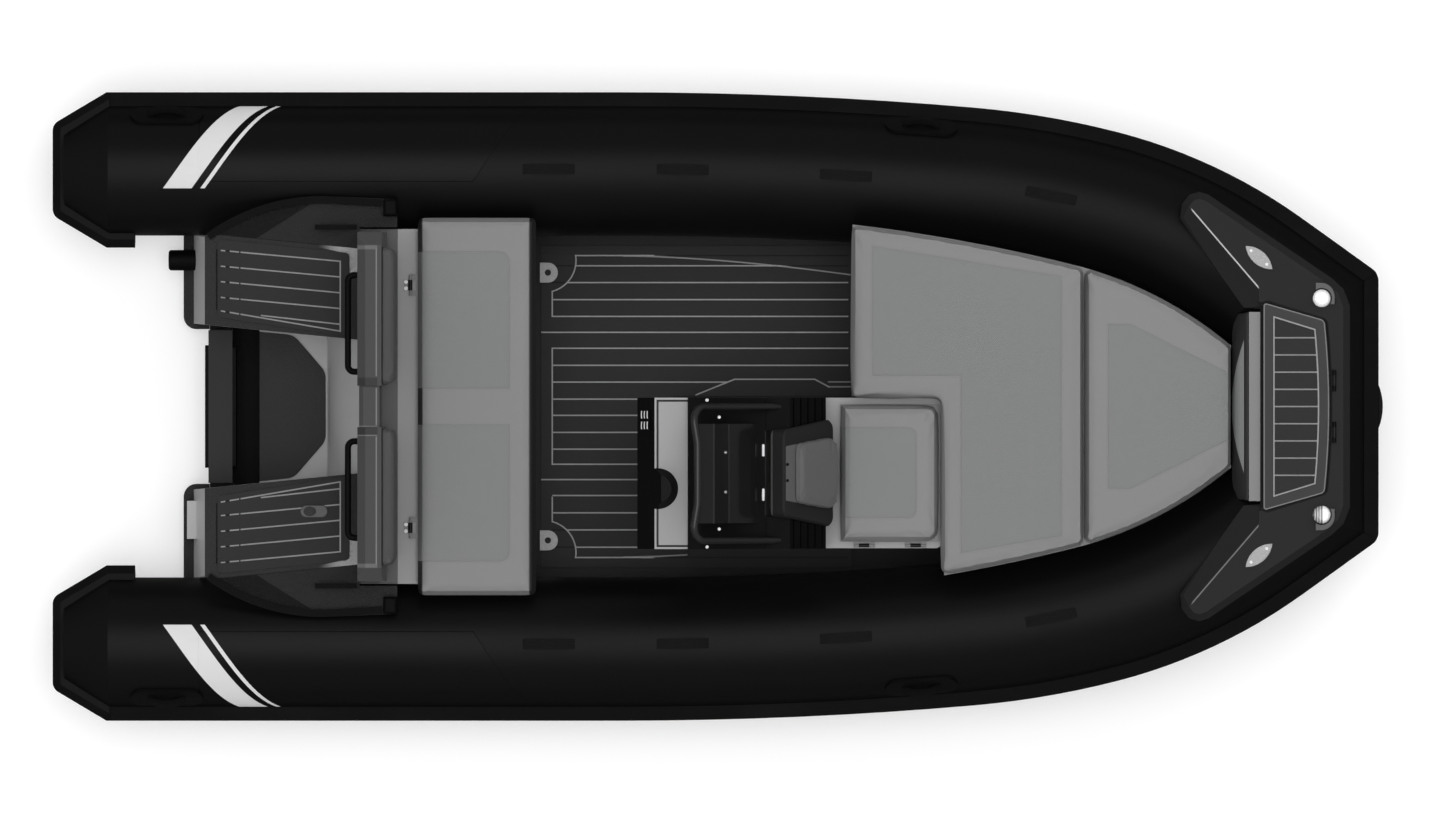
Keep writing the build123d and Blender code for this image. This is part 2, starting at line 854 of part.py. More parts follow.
well_side = Plane(origin=(module_back_x, well_rear_half_width, 0), z_dir=(well_slant, -1, 0))

with BuildPart() as well_trough:
    with BuildSketch(Plane.XY.offset(deck_z)):
        with Locations((transom_x, 0)):
            Rectangle(trough_front_x - transom_x, well_rear_half_width, align=Align.MIN)
    extrude(amount=liner_thick)
    split(bisect_by=well_side.offset(glue_gap), keep=Keep.TOP)
    mirror(about=Plane.XZ)
finish("well_trough", well_trough)

with BuildPart() as motor_well:
    with BuildSketch(Plane.XZ) as ramp:
        with BuildLine():
            Polyline(
                (well_ramp_x, well_floor_z),
                (trough_front_x, well_floor_z),
                (trough_front_x, deck_z),
                (module_front_x, deck_z),
                (module_front_x, platform_z),
            )
            RadiusArc(
                (well_ramp_x, well_floor_z),
                (module_front_x, platform_z),
                2 * (platform_z - well_floor_z),
            )
        make_face()
    extrude(amount=-well_rear_half_width)
    split(bisect_by=well_side.offset(glue_gap), keep=Keep.TOP)
    mirror(about=Plane.XZ)
finish("motor_well", motor_well)

with BuildPart() as well_floor:
    with BuildSketch(Plane.XY.offset(well_floor_z)) as plan:
        with BuildLine():
            Polyline(
                (trough_front_x, 0),
                (trough_front_x, well_wall(trough_front_x) - edge_gap),
                (well_bend_x, well_wall(well_bend_x) - edge_gap),
                (well_ramp_x - edge_gap, well_lip_half_width),
                (well_ramp_x - edge_gap, 0),
                close=True,
            )
        make_face()
        mirror(about=Plane.XZ)
        fillet(plan.vertices().sort_by(Axis.X)[2:], well_corner)
    extrude(amount=liner_thick)
finish("well_floor", well_floor)


def hip_curve(back=0.0, drop=0.0):
    """Curved outer edge of the port platform, its ends moved by what is given."""
    return SagittaArc(
        (module_back_x + module_lean + back, platform_rear_outer_y),
        (platform_hip_x, platform_hip_y - drop),
        platform_bow_out,
    )


# Stern mouldings with leaning back walls, bonded to the tubes
with BuildPart() as stern_modules:
    with BuildSketch(Plane.XZ):
        with BuildLine():
            Polyline(
                (module_back_x, deck_z),
                (module_back_x + module_lean, platform_z - platform_thick),
                (module_front_x, platform_z - platform_thick),
                (module_front_x, deck_z),
                close=True,
            )
        make_face()
    extrude(amount=-tube_spread)
    split(bisect_by=well_side, keep=Keep.BOTTOM)
    with BuildSketch(Plane.XY.offset(tube_height)):
        with BuildLine():
            hip_curve()
            Polyline(
                (platform_hip_x, platform_hip_y),
                (platform_hip_x, tube_spread),
                (step_back_x, tube_spread),
                (step_back_x, platform_rear_outer_y),
                (module_back_x + module_lean, platform_rear_outer_y),
            )
        make_face()
    extrude(amount=tube_radius, mode=Mode.SUBTRACT)
    add(port_clear, mode=Mode.SUBTRACT)
    mirror(about=Plane.XZ)
    with BuildSketch(Plane(origin=(module_back_x + module_lean, 0, step_z + step_thick + glue_gap))):
        with Locations((0, plate_y)):
            Rectangle(module_lean + plate_thick, plate_width, align=(Align.MAX, Align.CENTER))
    extrude(amount=plate_height)
finish("stern_modules", stern_modules)

# Boarding platforms whose hips spread over the tubes' shoulders
with BuildPart() as boarding_platforms:
    with BuildSketch(Plane.XY.offset(platform_z - platform_thick)) as plan:
        with BuildLine():
            Polyline(
                (platform_front_x, platform_front_y),
                (platform_front_x, ledge_half_width + edge_gap),
                (module_front_x, ledge_half_width + edge_gap),
                (module_front_x, well_wall(module_front_x)),
                (module_back_x + module_lean, well_wall(module_back_x + module_lean)),
                (module_back_x + module_lean, platform_rear_outer_y),
            )
            hip_curve()
            Line((platform_hip_x, platform_hip_y), (platform_front_x, platform_front_y))
        make_face()
    extrude(amount=platform_thick)
    add(port_clear, mode=Mode.SUBTRACT)
    mirror(about=Plane.XZ)
finish("boarding_platforms", boarding_platforms)


# Raised lip along each hip, with a block at its front end
with BuildPart() as platform_lips:
    lip_shift = lip_width / 2 + glue_gap
    with BuildSketch(Plane.XY.offset(platform_z + glue_gap)):
        with BuildLine():
            hip_curve(lip_shift, lip_shift)
            Line(
                (platform_hip_x, platform_hip_y - lip_shift),
                (platform_front_x - lip_block_length - edge_gap, platform_front_y - lip_shift),
            )
        trace(line_width=lip_width)
    extrude(amount=lip_height)
    with BuildSketch(Plane.XY.offset(platform_z + glue_gap)):
        with Locations((platform_front_x, platform_front_y)):
            Rectangle(lip_block_length, lip_block_width, align=Align.MAX)
    extrude(amount=lip_block_height)
    fillet(platform_lips.faces().sort_by(Axis.Z)[-1].edges(), lip_height)
    add(port_clear, mode=Mode.SUBTRACT)
    mirror(about=Plane.XZ)
finish("platform_lips", platform_lips)

# Dark step flange round the foot of each stern module
with BuildPart() as stern_steps:
    with BuildSketch(Plane.XY.offset(step_z)) as plan:
        with BuildLine():
            Polyline(
                (step_back_x, tube_spread),
                (step_back_x, step_inner_y),
                (transom_x - transom_thick - glue_gap, step_inner_y),
                (transom_x - transom_thick - glue_gap, tube_spread),
                close=True,
            )
        make_face()
        inner_corner = plan.vertices().sort_by(Axis.X)[0:2].sort_by(Axis.Y)[0]
        fillet(inner_corner, step_corner)
    extrude(amount=step_thick)
    add(port_clear, mode=Mode.SUBTRACT)
    add(stern_modules.part, mode=Mode.SUBTRACT)
    mirror(about=Plane.XZ)
finish("stern_steps", stern_steps)

# Drain trunk that lies on the port step against the leaning wall
with BuildPart() as drain_trunk:
    trunk_z = step_z + step_thick + trunk_radius + glue_gap
    trunk_end = Plane(
        origin=(module_back_x + plate_thick, trunk_y, trunk_z), x_dir=(0, 1, 0), z_dir=(-1, 0, 0)
    )
    with BuildSketch(trunk_end):
        Circle(trunk_radius)
    extrude(amount=trunk_length)
    chamfer(drain_trunk.faces().sort_by(Axis.X)[0].edges(), edge_gap)
    add(stern_modules.part, mode=Mode.SUBTRACT)
finish("drain_trunk", drain_trunk)

# Filler plate on the starboard platform
with BuildPart() as fuel_filler:
    with BuildSketch(Plane.XY.offset(platform_z + 2 * mat_sheet + glue_gap)):
        with Locations((filler_x, filler_y)):
            SlotOverall(filler_length, filler_width)
    extrude(amount=filler_thick)
    chamfer(fuel_filler.faces().sort_by(Axis.Z)[-1].edges(), filler_thick / 3)
    with BuildSketch(Plane.XY.offset(platform_z + 2 * mat_sheet + glue_gap)):
        with Locations((filler_x - filler_cap_radius, filler_y)):
            Circle(filler_cap_radius)
    extrude(amount=2 * filler_thick)
finish("fuel_filler", fuel_filler)

# Bench: a hollow locker with a hinge ledge behind its lid
with BuildPart() as bench_box:
    with BuildSketch(Plane.XY.offset(deck_z + deck_thick)):
        with Locations((module_front_x, 0)):
            Rectangle(
                bench_front_x - module_front_x, 2 * bench_half_width, align=(Align.MIN, Align.CENTER)
            )
    extrude(amount=bench_top_z - deck_z - deck_thick)
    with BuildSketch(Plane.XY.offset(bench_top_z)):
        with Locations((module_front_x, 0)):
            Rectangle(
                bench_front_x - module_front_x, 2 * ledge_half_width, align=(Align.MIN, Align.CENTER)
            )
    extrude(amount=-ledge_thick)
    with BuildSketch(Plane.XY.offset(deck_z + deck_thick + bench_floor)):
        with Locations(((lid_rear_x + bench_front_x) / 2, 0)):
            RectangleRounded(
                bench_front_x - lid_rear_x - 2 * bench_wall,
                2 * (bench_half_width - bench_wall),
                2 * bench_wall,
            )
    extrude(amount=bench_top_z, mode=Mode.SUBTRACT)
    add(port_clear, mode=Mode.SUBTRACT)
    add(starboard_clear, mode=Mode.SUBTRACT)
finish("bench_box", bench_box)

hinge_z = bench_top_z + hinge_lift


def hinge_leaf(y):
    """Fixed leaf of a bench hinge: plate, middle knuckle and pin."""
    with BuildPart() as leaf:
        with BuildSketch(Plane.XY.offset(bench_top_z)):
            with Locations((hinge_x, y)):
                Rectangle(2 * barrel_length / 3, barrel_length, align=(Align.MAX, Align.CENTER))
        extrude(amount=leaf_thick)
        across = Plane(origin=(hinge_x, y, hinge_z), z_dir=(0, 1, 0))
        with BuildSketch(across):
            Circle(barrel_radius)
        extrude(amount=barrel_length / 2, both=True)
        with BuildSketch(Plane.XZ.offset(-y)):
            with BuildLine():
                Polyline(
                    (hinge_x, bench_top_z),
                    (hinge_x, hinge_z),
                    (hinge_x - barrel_radius, hinge_z),
                    (hinge_x - 2 * barrel_radius, bench_top_z),
                    close=True,
                )
            make_face()
        extrude(amount=barrel_length / 2, both=True)
        with BuildSketch(across):
            Circle(pin_radius)
        extrude(amount=barrel_length, both=True)
    return leaf.part


# Bench lid with the moving knuckles of its two hinges
with BuildPart() as bench_lid:
    with BuildSketch(Plane.XY.offset(bench_top_z + lid_gap)):
        with Locations((lid_rear_x, 0)):
            Rectangle(
                bench_front_x - lid_rear_x, 2 * lid_half_width, align=(Align.MIN, Align.CENTER)
            )
    extrude(amount=lid_thick)
    knuckle_shift = barrel_length * 3 / 4 + hinge_play
    knuckle_places = [side * hinge_y + end * knuckle_shift for side in (-1, 1) for end in (-1, 1)]
    for place in knuckle_places:
        across = Plane(origin=(hinge_x, place, hinge_z), z_dir=(0, 1, 0))
        with BuildSketch(across):
            Circle(barrel_radius)
        extrude(amount=barrel_length / 4, both=True)
        with BuildSketch(Plane.XZ.offset(-place)):
            with Locations((hinge_x, hinge_z)):
                Rectangle(lid_rear_x - hinge_x, barrel_radius, align=(Align.MIN, Align.CENTER))
        extrude(amount=barrel_length / 4, both=True)
        with BuildSketch(across):
            Circle(pin_radius + pin_play)
        extrude(amount=barrel_length, both=True, mode=Mode.SUBTRACT)
finish("bench_lid", bench_lid)

with BuildPart() as bench_cushion:
    with BuildSketch(Plane.XY.offset(bench_top_z + lid_gap + lid_thick + glue_gap)):
        with Locations(((cushion_rear_x + cushion_front_x) / 2, 0)):
            RectangleRounded(
                cushion_front_x - cushion_rear_x, 2 * cushion_half_width, cushion_corner
            )
    extrude(amount=cushion_thick)
    chamfer(bench_cushion.faces().sort_by(Axis.Z)[-1].edges(), cushion_corner / 3)
finish("bench_cushion", bench_cushion)

# Backrest moulding, its two pads and the grab bars behind it
with BuildPart() as backrest_frame:
    with BuildSketch(Plane.XZ) as side:
        with BuildLine():
            Polyline(
                (module_front_x, bench_top_z),
                (module_front_x, backrest_top_z - module_lean / 2),
                (module_front_x + module_lean / 2, backrest_top_z),
                (backrest_front_x - module_lean / 4, backrest_top_z),
                (backrest_front_x, backrest_waist_z),
                (backrest_foot_x, backrest_waist_z - module_lean / 2),
                (backrest_foot_x, bench_top_z),
                close=True,
            )
        make_face()
    extrude(amount=backrest_half_width, both=True)
    chamfer(backrest_frame.faces().sort_by(Axis.Z)[-1].edges().filter_by(Axis.X), backrest_end_chamfer)
    with BuildSketch(Plane.XZ):
        with Locations((module_front_x, backrest_top_z - backrest_joint_step)):
            Rectangle(2 * module_lean, backrest_top_z, align=Align.MIN)
        with Locations((module_front_x, bench_top_z)):
            Rectangle(backrest_joint_step, backrest_top_z, align=Align.MIN)
        with Locations((backrest_front_x - backrest_joint_step - module_lean / 4, bench_top_z)):
            Rectangle(module_lean, backrest_top_z, align=Align.MIN)
    extrude(amount=backrest_joint_y, both=True, mode=Mode.SUBTRACT)
finish("backrest_frame", backrest_frame)

with BuildPart() as backrest_pads:
    rake = (module_lean / 4) / (backrest_top_z - backrest_waist_z)

    def backrest_face(z):
        """Fore-and-aft place of the backrest's front face at a height."""
        return backrest_front_x - rake * (z - backrest_waist_z) + glue_gap

    with BuildSketch(Plane.XZ.offset(-backrest_pad_inner_y)):
        with BuildLine():
            Polyline(
                (backrest_face(backrest_pad_z), backrest_pad_z),
                (backrest_face(backrest_pad_top_z), backrest_pad_top_z),
                (backrest_face(backrest_pad_top_z) + backrest_pad_thick, backrest_pad_top_z),
                (backrest_face(backrest_pad_z) + backrest_pad_thick, backrest_pad_z),
                close=True,
            )
        make_face()
    extrude(amount=-(backrest_pad_outer_y - backrest_pad_inner_y))
    fillet(backrest_pads.edges().filter_by(Axis.X), backrest_pad_corner)
    mirror(about=Plane.XZ)
finish("backrest_pads", backrest_pads)

with BuildPart() as backrest_grabs:
    with BuildLine() as bar:
        FilletPolyline(
            (module_front_x - glue_gap, grab_inner_y, grab_z),
            (module_front_x - grab_reach, grab_inner_y, grab_z),
            (module_front_x - grab_reach, grab_outer_y, grab_z),
            (module_front_x - glue_gap, grab_outer_y, grab_z),
            radius=2 * grab_radius,
        )
    with BuildSketch(Plane(origin=bar.line @ 0, z_dir=bar.line % 0)):
        Circle(grab_radius)
    sweep(path=bar.wires()[0])
    mirror(about=Plane.XZ)
finish("backrest_grabs", backrest_grabs)

# Cockpit sole with its grooved decking
console_port_y = console_y + console_width / 2
with BuildPart() as deck_floor:
    with BuildSketch(Plane.XY.offset(deck_z)):
        with Locations((module_front_x, 0)):
            Rectangle(
                locker_rear_x - module_front_x, 2 * deck_half_width, align=(Align.MIN, Align.CENTER)
            )
    extrude(amount=deck_thick)
    for clear in (port_clear, starboard_clear):
        add(clear, mode=Mode.SUBTRACT)
finish("deck_floor", deck_floor)


def console_foot(margin):
    """Footprint of the console, grown by a margin."""
    with BuildSketch() as foot:
        with Locations((console_wall_x - margin, console_y)):
            Rectangle(
                seat_base_front_x - console_wall_x + 2 * margin,
                console_width + 2 * margin,
                align=(Align.MIN, Align.CENTER),
            )
    return foot.sketch


def platform_mat():
    """Outline of the port platform's mat."""
    with BuildSketch() as plan:
        with BuildLine():
            Polyline(*[(module_front_x + ahead, y) for ahead, y in platform_mat_corners], close=True)
        make_face()
        fillet(plan.vertices(), platform_mat_corner)
    return plan.sketch


def floor_mat():
    """Outline of the cockpit mat, round the console."""
    with BuildSketch() as plan:
        with Locations((mat_rear_x, 0)):
            Rectangle(
                locker_rear_x - mat_rear_x, 2 * mat_half_width, align=(Align.MIN, Align.CENTER)
            )
        add(console_foot(edge_gap), mode=Mode.SUBTRACT)
    return plan.sketch


with BuildPart() as mat_sheets:
    with BuildSketch(Plane.XY.offset(platform_z)):
        add(platform_mat())
    extrude(amount=mat_sheet)
    mirror(about=Plane.XZ)
    with BuildSketch(Plane.XY.offset(deck_z + deck_thick)):
        add(floor_mat())
    extrude(amount=mat_sheet)
finish("mat_sheets", mat_sheets)

with BuildPart() as mat_planks:
    with BuildSketch(Plane.XY.offset(platform_z + mat_sheet)):
        add(platform_mat())
        with BuildLine():
            for ahead, aft_y, fore_y in platform_grooves:
                Line((groove_aft_x + ahead, aft_y), (groove_fore_x, fore_y))
            Line((groove_fore_x, platform_grooves[0][2]), (groove_fore_x, platform_grooves[-1][2]))
        trace(line_width=mat_groove, mode=Mode.SUBTRACT)
    extrude(amount=mat_sheet)
    mirror(about=Plane.XZ)
    groove_front_x = locker_rear_x - mat_margin
    with BuildSketch(Plane.XY.offset(deck_z + deck_thick + mat_sheet)):
        add(floor_mat())
        with BuildLine():
            for groove_y, length in floor_grooves:
                end_x = groove_front_x if length is None else panel_rear_x + length
                Line((panel_rear_x, groove_y), (end_x, groove_y))
            for groove_y in joint_grooves:
                Line((mat_rear_x, groove_y), (groove_front_x, groove_y))
            middle_y = [row[0] for row in floor_grooves if abs(row[0]) < joint_grooves[0]]
            Line((panel_rear_x, max(middle_y)), (panel_rear_x, min(middle_y)))
            Polyline(*[(panel_rear_x + ahead, y) for ahead, y in console_groove])
            for side in (-1, 1):
                outline_x = panel_rear_x + outline_start - mat_margin
                Line((outline_x, side * outline_groove_y), (groove_front_x, side * outline_groove_y))
                ThreePointArc(
                    (outline_x, side * outline_groove_y),
                    (panel_rear_x + bracket_arc[0], side * bracket_arc[1]),
                    (panel_rear_x, side * panel_corner_y),
                )
                Line((panel_rear_x, side * panel_corner_y), (panel_rear_x, side * floor_grooves[3][0]))
        trace(line_width=mat_groove, mode=Mode.SUBTRACT)
    extrude(amount=mat_sheet)
finish("mat_planks", mat_planks)

# Tie-down plates on the cockpit sole
with BuildPart() as floor_brackets:
    with BuildSketch(Plane.XY.offset(deck_z + deck_thick + 2 * mat_sheet + glue_gap)) as plan:
        flat_x = floor_bracket_x - floor_bracket_length + floor_bracket_width / 2
        with Locations((floor_bracket_x, floor_bracket_y)):
            Circle(floor_bracket_width / 2)
            Rectangle(floor_bracket_width, floor_bracket_width, align=(Align.MAX, Align.CENTER))
            Circle(floor_bracket_hole, mode=Mode.SUBTRACT)
        with Locations((flat_x, floor_bracket_y)):
            Rectangle(
                floor_bracket_width,
                floor_bracket_width,
                align=(Align.MAX, Align.CENTER),
                mode=Mode.SUBTRACT,
            )
    extrude(amount=floor_bracket_thick)
    mirror(about=Plane.XZ)
finish("floor_brackets", floor_brackets)

# Console moulding with an overhanging dash and a hollow seat locker in front
with BuildPart() as console_body:
    with BuildSketch(Plane.XZ.offset(-console_port_y)) as side:
        with BuildLine():
            Polyline(
                (console_wall_x, deck_z + deck_thick),
                (console_wall_x, console_top_z - dash_drop),
                (dash_front_x, console_top_z - dash_drop),
                (dash_front_x, console_top_z),
                (console_brow_x, console_top_z),
                (console_face_x, console_shoulder_z),
                (console_face_x + console_wall, seat_base_z),
                (seat_base_front_x, seat_base_z),
                (seat_base_front_x, deck_z + deck_thick),
                close=True,
            )
        make_face()
    extrude(amount=console_width)
    uprights = console_body.edges().filter_by(Axis.Z).filter_by(lambda e: e.length > seat_base_z / 2)
    fillet(uprights, console_round)
    with BuildSketch(Plane.XY.offset(deck_z + deck_thick + bench_floor)):
        with Locations(((seat_rear_x + seat_front_x) / 2, console_y)):
            RectangleRounded(
                seat_front_x - seat_rear_x - 2 * console_wall,
                2 * (seat_half_width - console_wall),
                2 * console_wall,
            )
    extrude(amount=seat_base_z, mode=Mode.SUBTRACT)
finish("console_body", console_body)

with BuildPart() as console_dash:
    with BuildSketch(Plane.XZ.offset(-console_port_y)):
        with BuildLine():
            Polyline(
                (dash_front_x, console_top_z),
                (dash_rear_x, console_top_z - dash_drop),
                (dash_rear_x, console_top_z - dash_drop - dash_thick),
                (dash_front_x, console_top_z - dash_drop),
                close=True,
            )
        make_face()
    extrude(amount=console_width)
    with BuildSketch(Plane.XZ.offset(-console_port_y)):
        with BuildLine():
            Polyline(
                (hood_rear_x, console_top_z + glue_gap),
                (console_brow_x, console_top_z + glue_gap),
                (console_face_x, console_shoulder_z + glue_gap),
                (console_face_x, console_shoulder_z + hood_thick),
                (console_brow_x, console_top_z + hood_thick),
                (hood_rear_x, console_top_z + hood_thick),
                close=True,
            )
        make_face()
    extrude(amount=console_width)
finish("console_dash", console_dash)

# Gauge cowl on the console top and switches on the sloping dash
dash_slope = atan2(dash_drop, dash_front_x - dash_rear_x)
with BuildPart() as dash_fittings:
    with BuildSketch(Plane.XY.offset(console_top_z + glue_gap)):
        with BuildLine():
            Line((dash_front_x, cowl_y + cowl_half_width), (dash_front_x, cowl_y - cowl_half_width))
            ThreePointArc(
                (dash_front_x, cowl_y - cowl_half_width),
                (dash_front_x + cowl_length, cowl_y),
                (dash_front_x, cowl_y + cowl_half_width),
            )
        make_face()
    extrude(amount=cowl_height, taper=cowl_taper)
    dash_face = Plane(
        origin=((dash_rear_x + dash_front_x) / 2, switch_y, console_top_z - dash_drop / 2),
        x_dir=(0, 1, 0),
        z_dir=(-sin(dash_slope), 0, cos(dash_slope)),
    )
    with BuildSketch(dash_face.offset(glue_gap)):
        RectangleRounded(panel_length, panel_width, panel_thick)
    extrude(amount=panel_thick)
    with BuildSketch(dash_face.offset(glue_gap)):
        with GridLocations(panel_length / 2, rocker_pitch, 2, 3):
            Rectangle(rocker_length, rocker_width)
    extrude(amount=2 * panel_thick)
finish("dash_fittings", dash_fittings)

# Steering: column boss on the console wall and the wheel that turns on it
with BuildPart() as steering_column:
    with BuildSketch(Plane(origin=(console_wall_x, wheel_y, wheel_z), z_dir=(-1, 0, 0))):
        Circle(2 * column_radius)
    extrude(amount=column_radius, taper=20)
    with BuildSketch(Plane(origin=(console_wall_x, wheel_y, wheel_z), z_dir=(-1, 0, 0))):
        Circle(column_radius / 2)
    extrude(amount=console_wall_x - wheel_x - hub_thick / 2 - lid_gap)
finish("steering_column", steering_column)

with BuildPart() as steering_wheel:
    facing = Plane(origin=(wheel_x, wheel_y, wheel_z), x_dir=(0, 1, 0), z_dir=(1, 0, 0))
    with BuildSketch(facing):
        Circle(hub_radius)
    extrude(amount=hub_thick / 2, both=True)
    with BuildSketch(facing):
        for turn in (90, 210, 330):
            with Locations(Location((0, 0, 0), (0, 0, turn))):
                Rectangle(wheel_radius - rim_radius, spoke_width, align=(Align.MIN, Align.CENTER))
    extrude(amount=spoke_thick / 2, both=True)
    with BuildSketch(Plane(origin=(wheel_x, wheel_y, wheel_z), x_dir=(0, 0, 1), z_dir=(0, 1, 0))):
        with Locations((wheel_radius - rim_radius, 0)):
            Circle(rim_radius)
    revolve(axis=Axis((wheel_x, wheel_y, wheel_z), (1, 0, 0)))
finish("steering_wheel", steering_wheel)

# Folded windscreen with the grab rail round it
with BuildPart() as windscreen:
    with BuildSketch(Plane.XZ.offset(-console_y)):
        with BuildLine():
            Polyline(*[(console_wall_x + ahead, console_top_z + up) for ahead, up in screen_folds])
        trace(line_width=screen_thick)
    extrude(amount=screen_half_width, both=True)
    add(console_body.part, mode=Mode.SUBTRACT)
    add(console_dash.part, mode=Mode.SUBTRACT)
    split(bisect_by=Plane.XY.offset(console_shoulder_z + hood_thick), keep=Keep.TOP)
finish("windscreen", windscreen)

# Seat back that leans on the front of the console
back_plane = Plane(
    origin=(back_foot_x, console_y, back_foot_z),
    x_dir=(0, 1, 0),
    z_dir=(cos(radians(back_lean)), 0, sin(radians(back_lean))),
)


def back_outline(low, high, low_half_width, high_half_width, sink=0.0):
    """Outline of the seat back, or of its pad, in a plane sunk behind the seat back's face."""
    with BuildSketch(back_plane.offset(-sink)) as outline:
        with BuildLine():
            Polyline(
                (low_half_width, low),
                (high_half_width, high),
                (-high_half_width, high),
                (-low_half_width, low),
                close=True,
            )
        make_face()
        fillet(outline.vertices(), back_round)
    return outline.sketch


with BuildPart() as seat_back:
    extrude(back_outline(0, back_height, back_half_width, back_top_half_width), amount=-back_thick)
    chamfer(seat_back.faces().sort_by(Axis.X)[-1].edges(), edge_gap)
finish("seat_back", seat_back)

with BuildPart() as seat_back_pad:
    pad_outline = back_outline(
        back_pad_low, back_pad_high, back_pad_half_width, back_pad_top_half_width, -glue_gap
    )
    extrude(pad_outline, amount=back_pad_thick)
finish("seat_back_pad", seat_back_pad)

# Black brackets that carry the seat back and the feet of the rail
with BuildPart() as back_brackets:
    with BuildSketch(Plane.XZ.offset(-console_port_y)):
        with BuildLine():
            Polyline(
                (console_face_x, seat_base_z),
                (console_face_x, console_shoulder_z),
                (bracket_top_x, console_shoulder_z),
                (bracket_tip_x, bracket_tip_z),
                (bracket_tip_x, seat_base_z),
                close=True,
            )
        make_face()
    extrude(amount=console_width)
    with BuildSketch(Plane.XZ.offset(-console_y)):
        with Locations((console_face_x, 0)):
            Rectangle(console_width, 2 * console_top_z, align=(Align.MIN, Align.CENTER))
    extrude(amount=back_top_half_width, both=True, mode=Mode.SUBTRACT)
    back_room = back_outline(
        -glue_gap,
        back_height + glue_gap,
        back_half_width + glue_gap,
        back_top_half_width + glue_gap,
        back_thick + glue_gap,
    )
    extrude(back_room, amount=2 * back_thick, mode=Mode.SUBTRACT)
    add(console_body.part, mode=Mode.SUBTRACT)
    add(console_dash.part, mode=Mode.SUBTRACT)
    ramp = Vector(bracket_tip_x - bracket_top_x, 0, bracket_tip_z - console_shoulder_z)
    for rib in range(bracket_ribs):
        foot = Vector(bracket_top_x, console_y, console_shoulder_z) + ramp * ((rib + 0.5) / bracket_ribs)
        with BuildSketch(Plane(origin=foot, x_dir=ramp, z_dir=(0, 1, 0))):
            Rectangle(bracket_groove, 2 * bracket_groove_depth)
        extrude(amount=console_width, both=True, mode=Mode.SUBTRACT)
finish("back_brackets", back_brackets)

with BuildPart() as console_rail:
    with BuildLine() as loop:
        FilletPolyline(
            (rail_foot_x, console_y - rail_half_width, rail_foot_z),
            (rail_top_x, console_y - rail_half_width, rail_top_z),
            (rail_top_x + rail_bow, console_y - rail_bow_half_width, rail_top_z),
            (rail_top_x + rail_bow, console_y + rail_bow_half_width, rail_top_z),
            (rail_top_x, console_y + rail_half_width, rail_top_z),
            (rail_foot_x, console_y + rail_half_width, rail_foot_z),
            radius=rail_bend,
        )
    with BuildSketch(Plane(origin=loop.line @ 0, z_dir=loop.line % 0)):
        Circle(rail_radius)
    sweep(path=loop.wires()[0])
    rail_fall = (rail_top_z - rail_foot_z) / (rail_foot_x - rail_top_x)
    hood_fall = (console_top_z - console_shoulder_z) / (console_face_x - console_brow_x)
    for side in (-1, 1):
        for foot_ahead, head_ahead in rail_struts:
            foot_x = console_wall_x + foot_ahead
            head_x = console_wall_x + head_ahead
            foot = Vector(
                foot_x,
                console_y + side * rail_half_width,
                console_top_z + hood_thick / 2 - hood_fall * max(foot_x - console_brow_x, 0),
            )
            head = Vector(
                head_x,
                console_y + side * rail_half_width,
                rail_top_z - rail_fall * (head_x - rail_top_x),
            )
            with BuildSketch(Plane(origin=foot, z_dir=head - foot)):
                Circle(strut_radius)
            extrude(amount=(head - foot).length)
    add(back_brackets.part, mode=Mode.SUBTRACT)
    add(console_dash.part, mode=Mode.SUBTRACT)
    add(console_body.part, mode=Mode.SUBTRACT)
finish("console_rail", console_rail)

# Lid of the console seat, hinged on its outboard side
seat_hinge_y = console_y - seat_half_width - barrel_radius * 2
seat_hinge_z = seat_base_z + hinge_lift


def seat_leaf(x):
    """Fixed leaf of a seat hinge: foot, middle knuckle and pin."""
    with BuildPart() as leaf:
        along = Plane(origin=(x, seat_hinge_y, seat_hinge_z), z_dir=(1, 0, 0))
        with BuildSketch(along):
            Circle(barrel_radius)
        extrude(amount=barrel_length / 2, both=True)
        with BuildSketch(Plane.XY.offset(seat_base_z)):
            with Locations((x, seat_hinge_y)):
                Rectangle(barrel_length, barrel_radius)
        extrude(amount=hinge_lift)
        with BuildSketch(along):
            Circle(pin_radius)
        extrude(amount=barrel_length, both=True)
    return leaf.part


with BuildPart() as seat_lid:
    with BuildSketch(Plane.XY.offset(seat_base_z + lid_gap)):
        with Locations((seat_rear_x, console_y)):
            Rectangle(
                seat_front_x - seat_rear_x, 2 * seat_half_width, align=(Align.MIN, Align.CENTER)
            )
    extrude(amount=lid_thick)
    for station in seat_hinge_stations:
        for place in (station - knuckle_shift, station + knuckle_shift):
            along = Plane(origin=(place, seat_hinge_y, seat_hinge_z), z_dir=(1, 0, 0))
            with BuildSketch(along):
                Circle(barrel_radius)
            extrude(amount=barrel_length / 4, both=True)
            with BuildSketch(Plane.XY.offset(seat_hinge_z - barrel_radius / 2)):
                with Locations((place, seat_hinge_y)):
                    Rectangle(
                        barrel_length / 2, 2 * barrel_radius, align=(Align.CENTER, Align.MIN)
                    )
            extrude(amount=barrel_radius)
            with BuildSketch(along):
                Circle(pin_radius + pin_play)
            extrude(amount=barrel_length, both=True, mode=Mode.SUBTRACT)
finish("seat_lid", seat_lid)

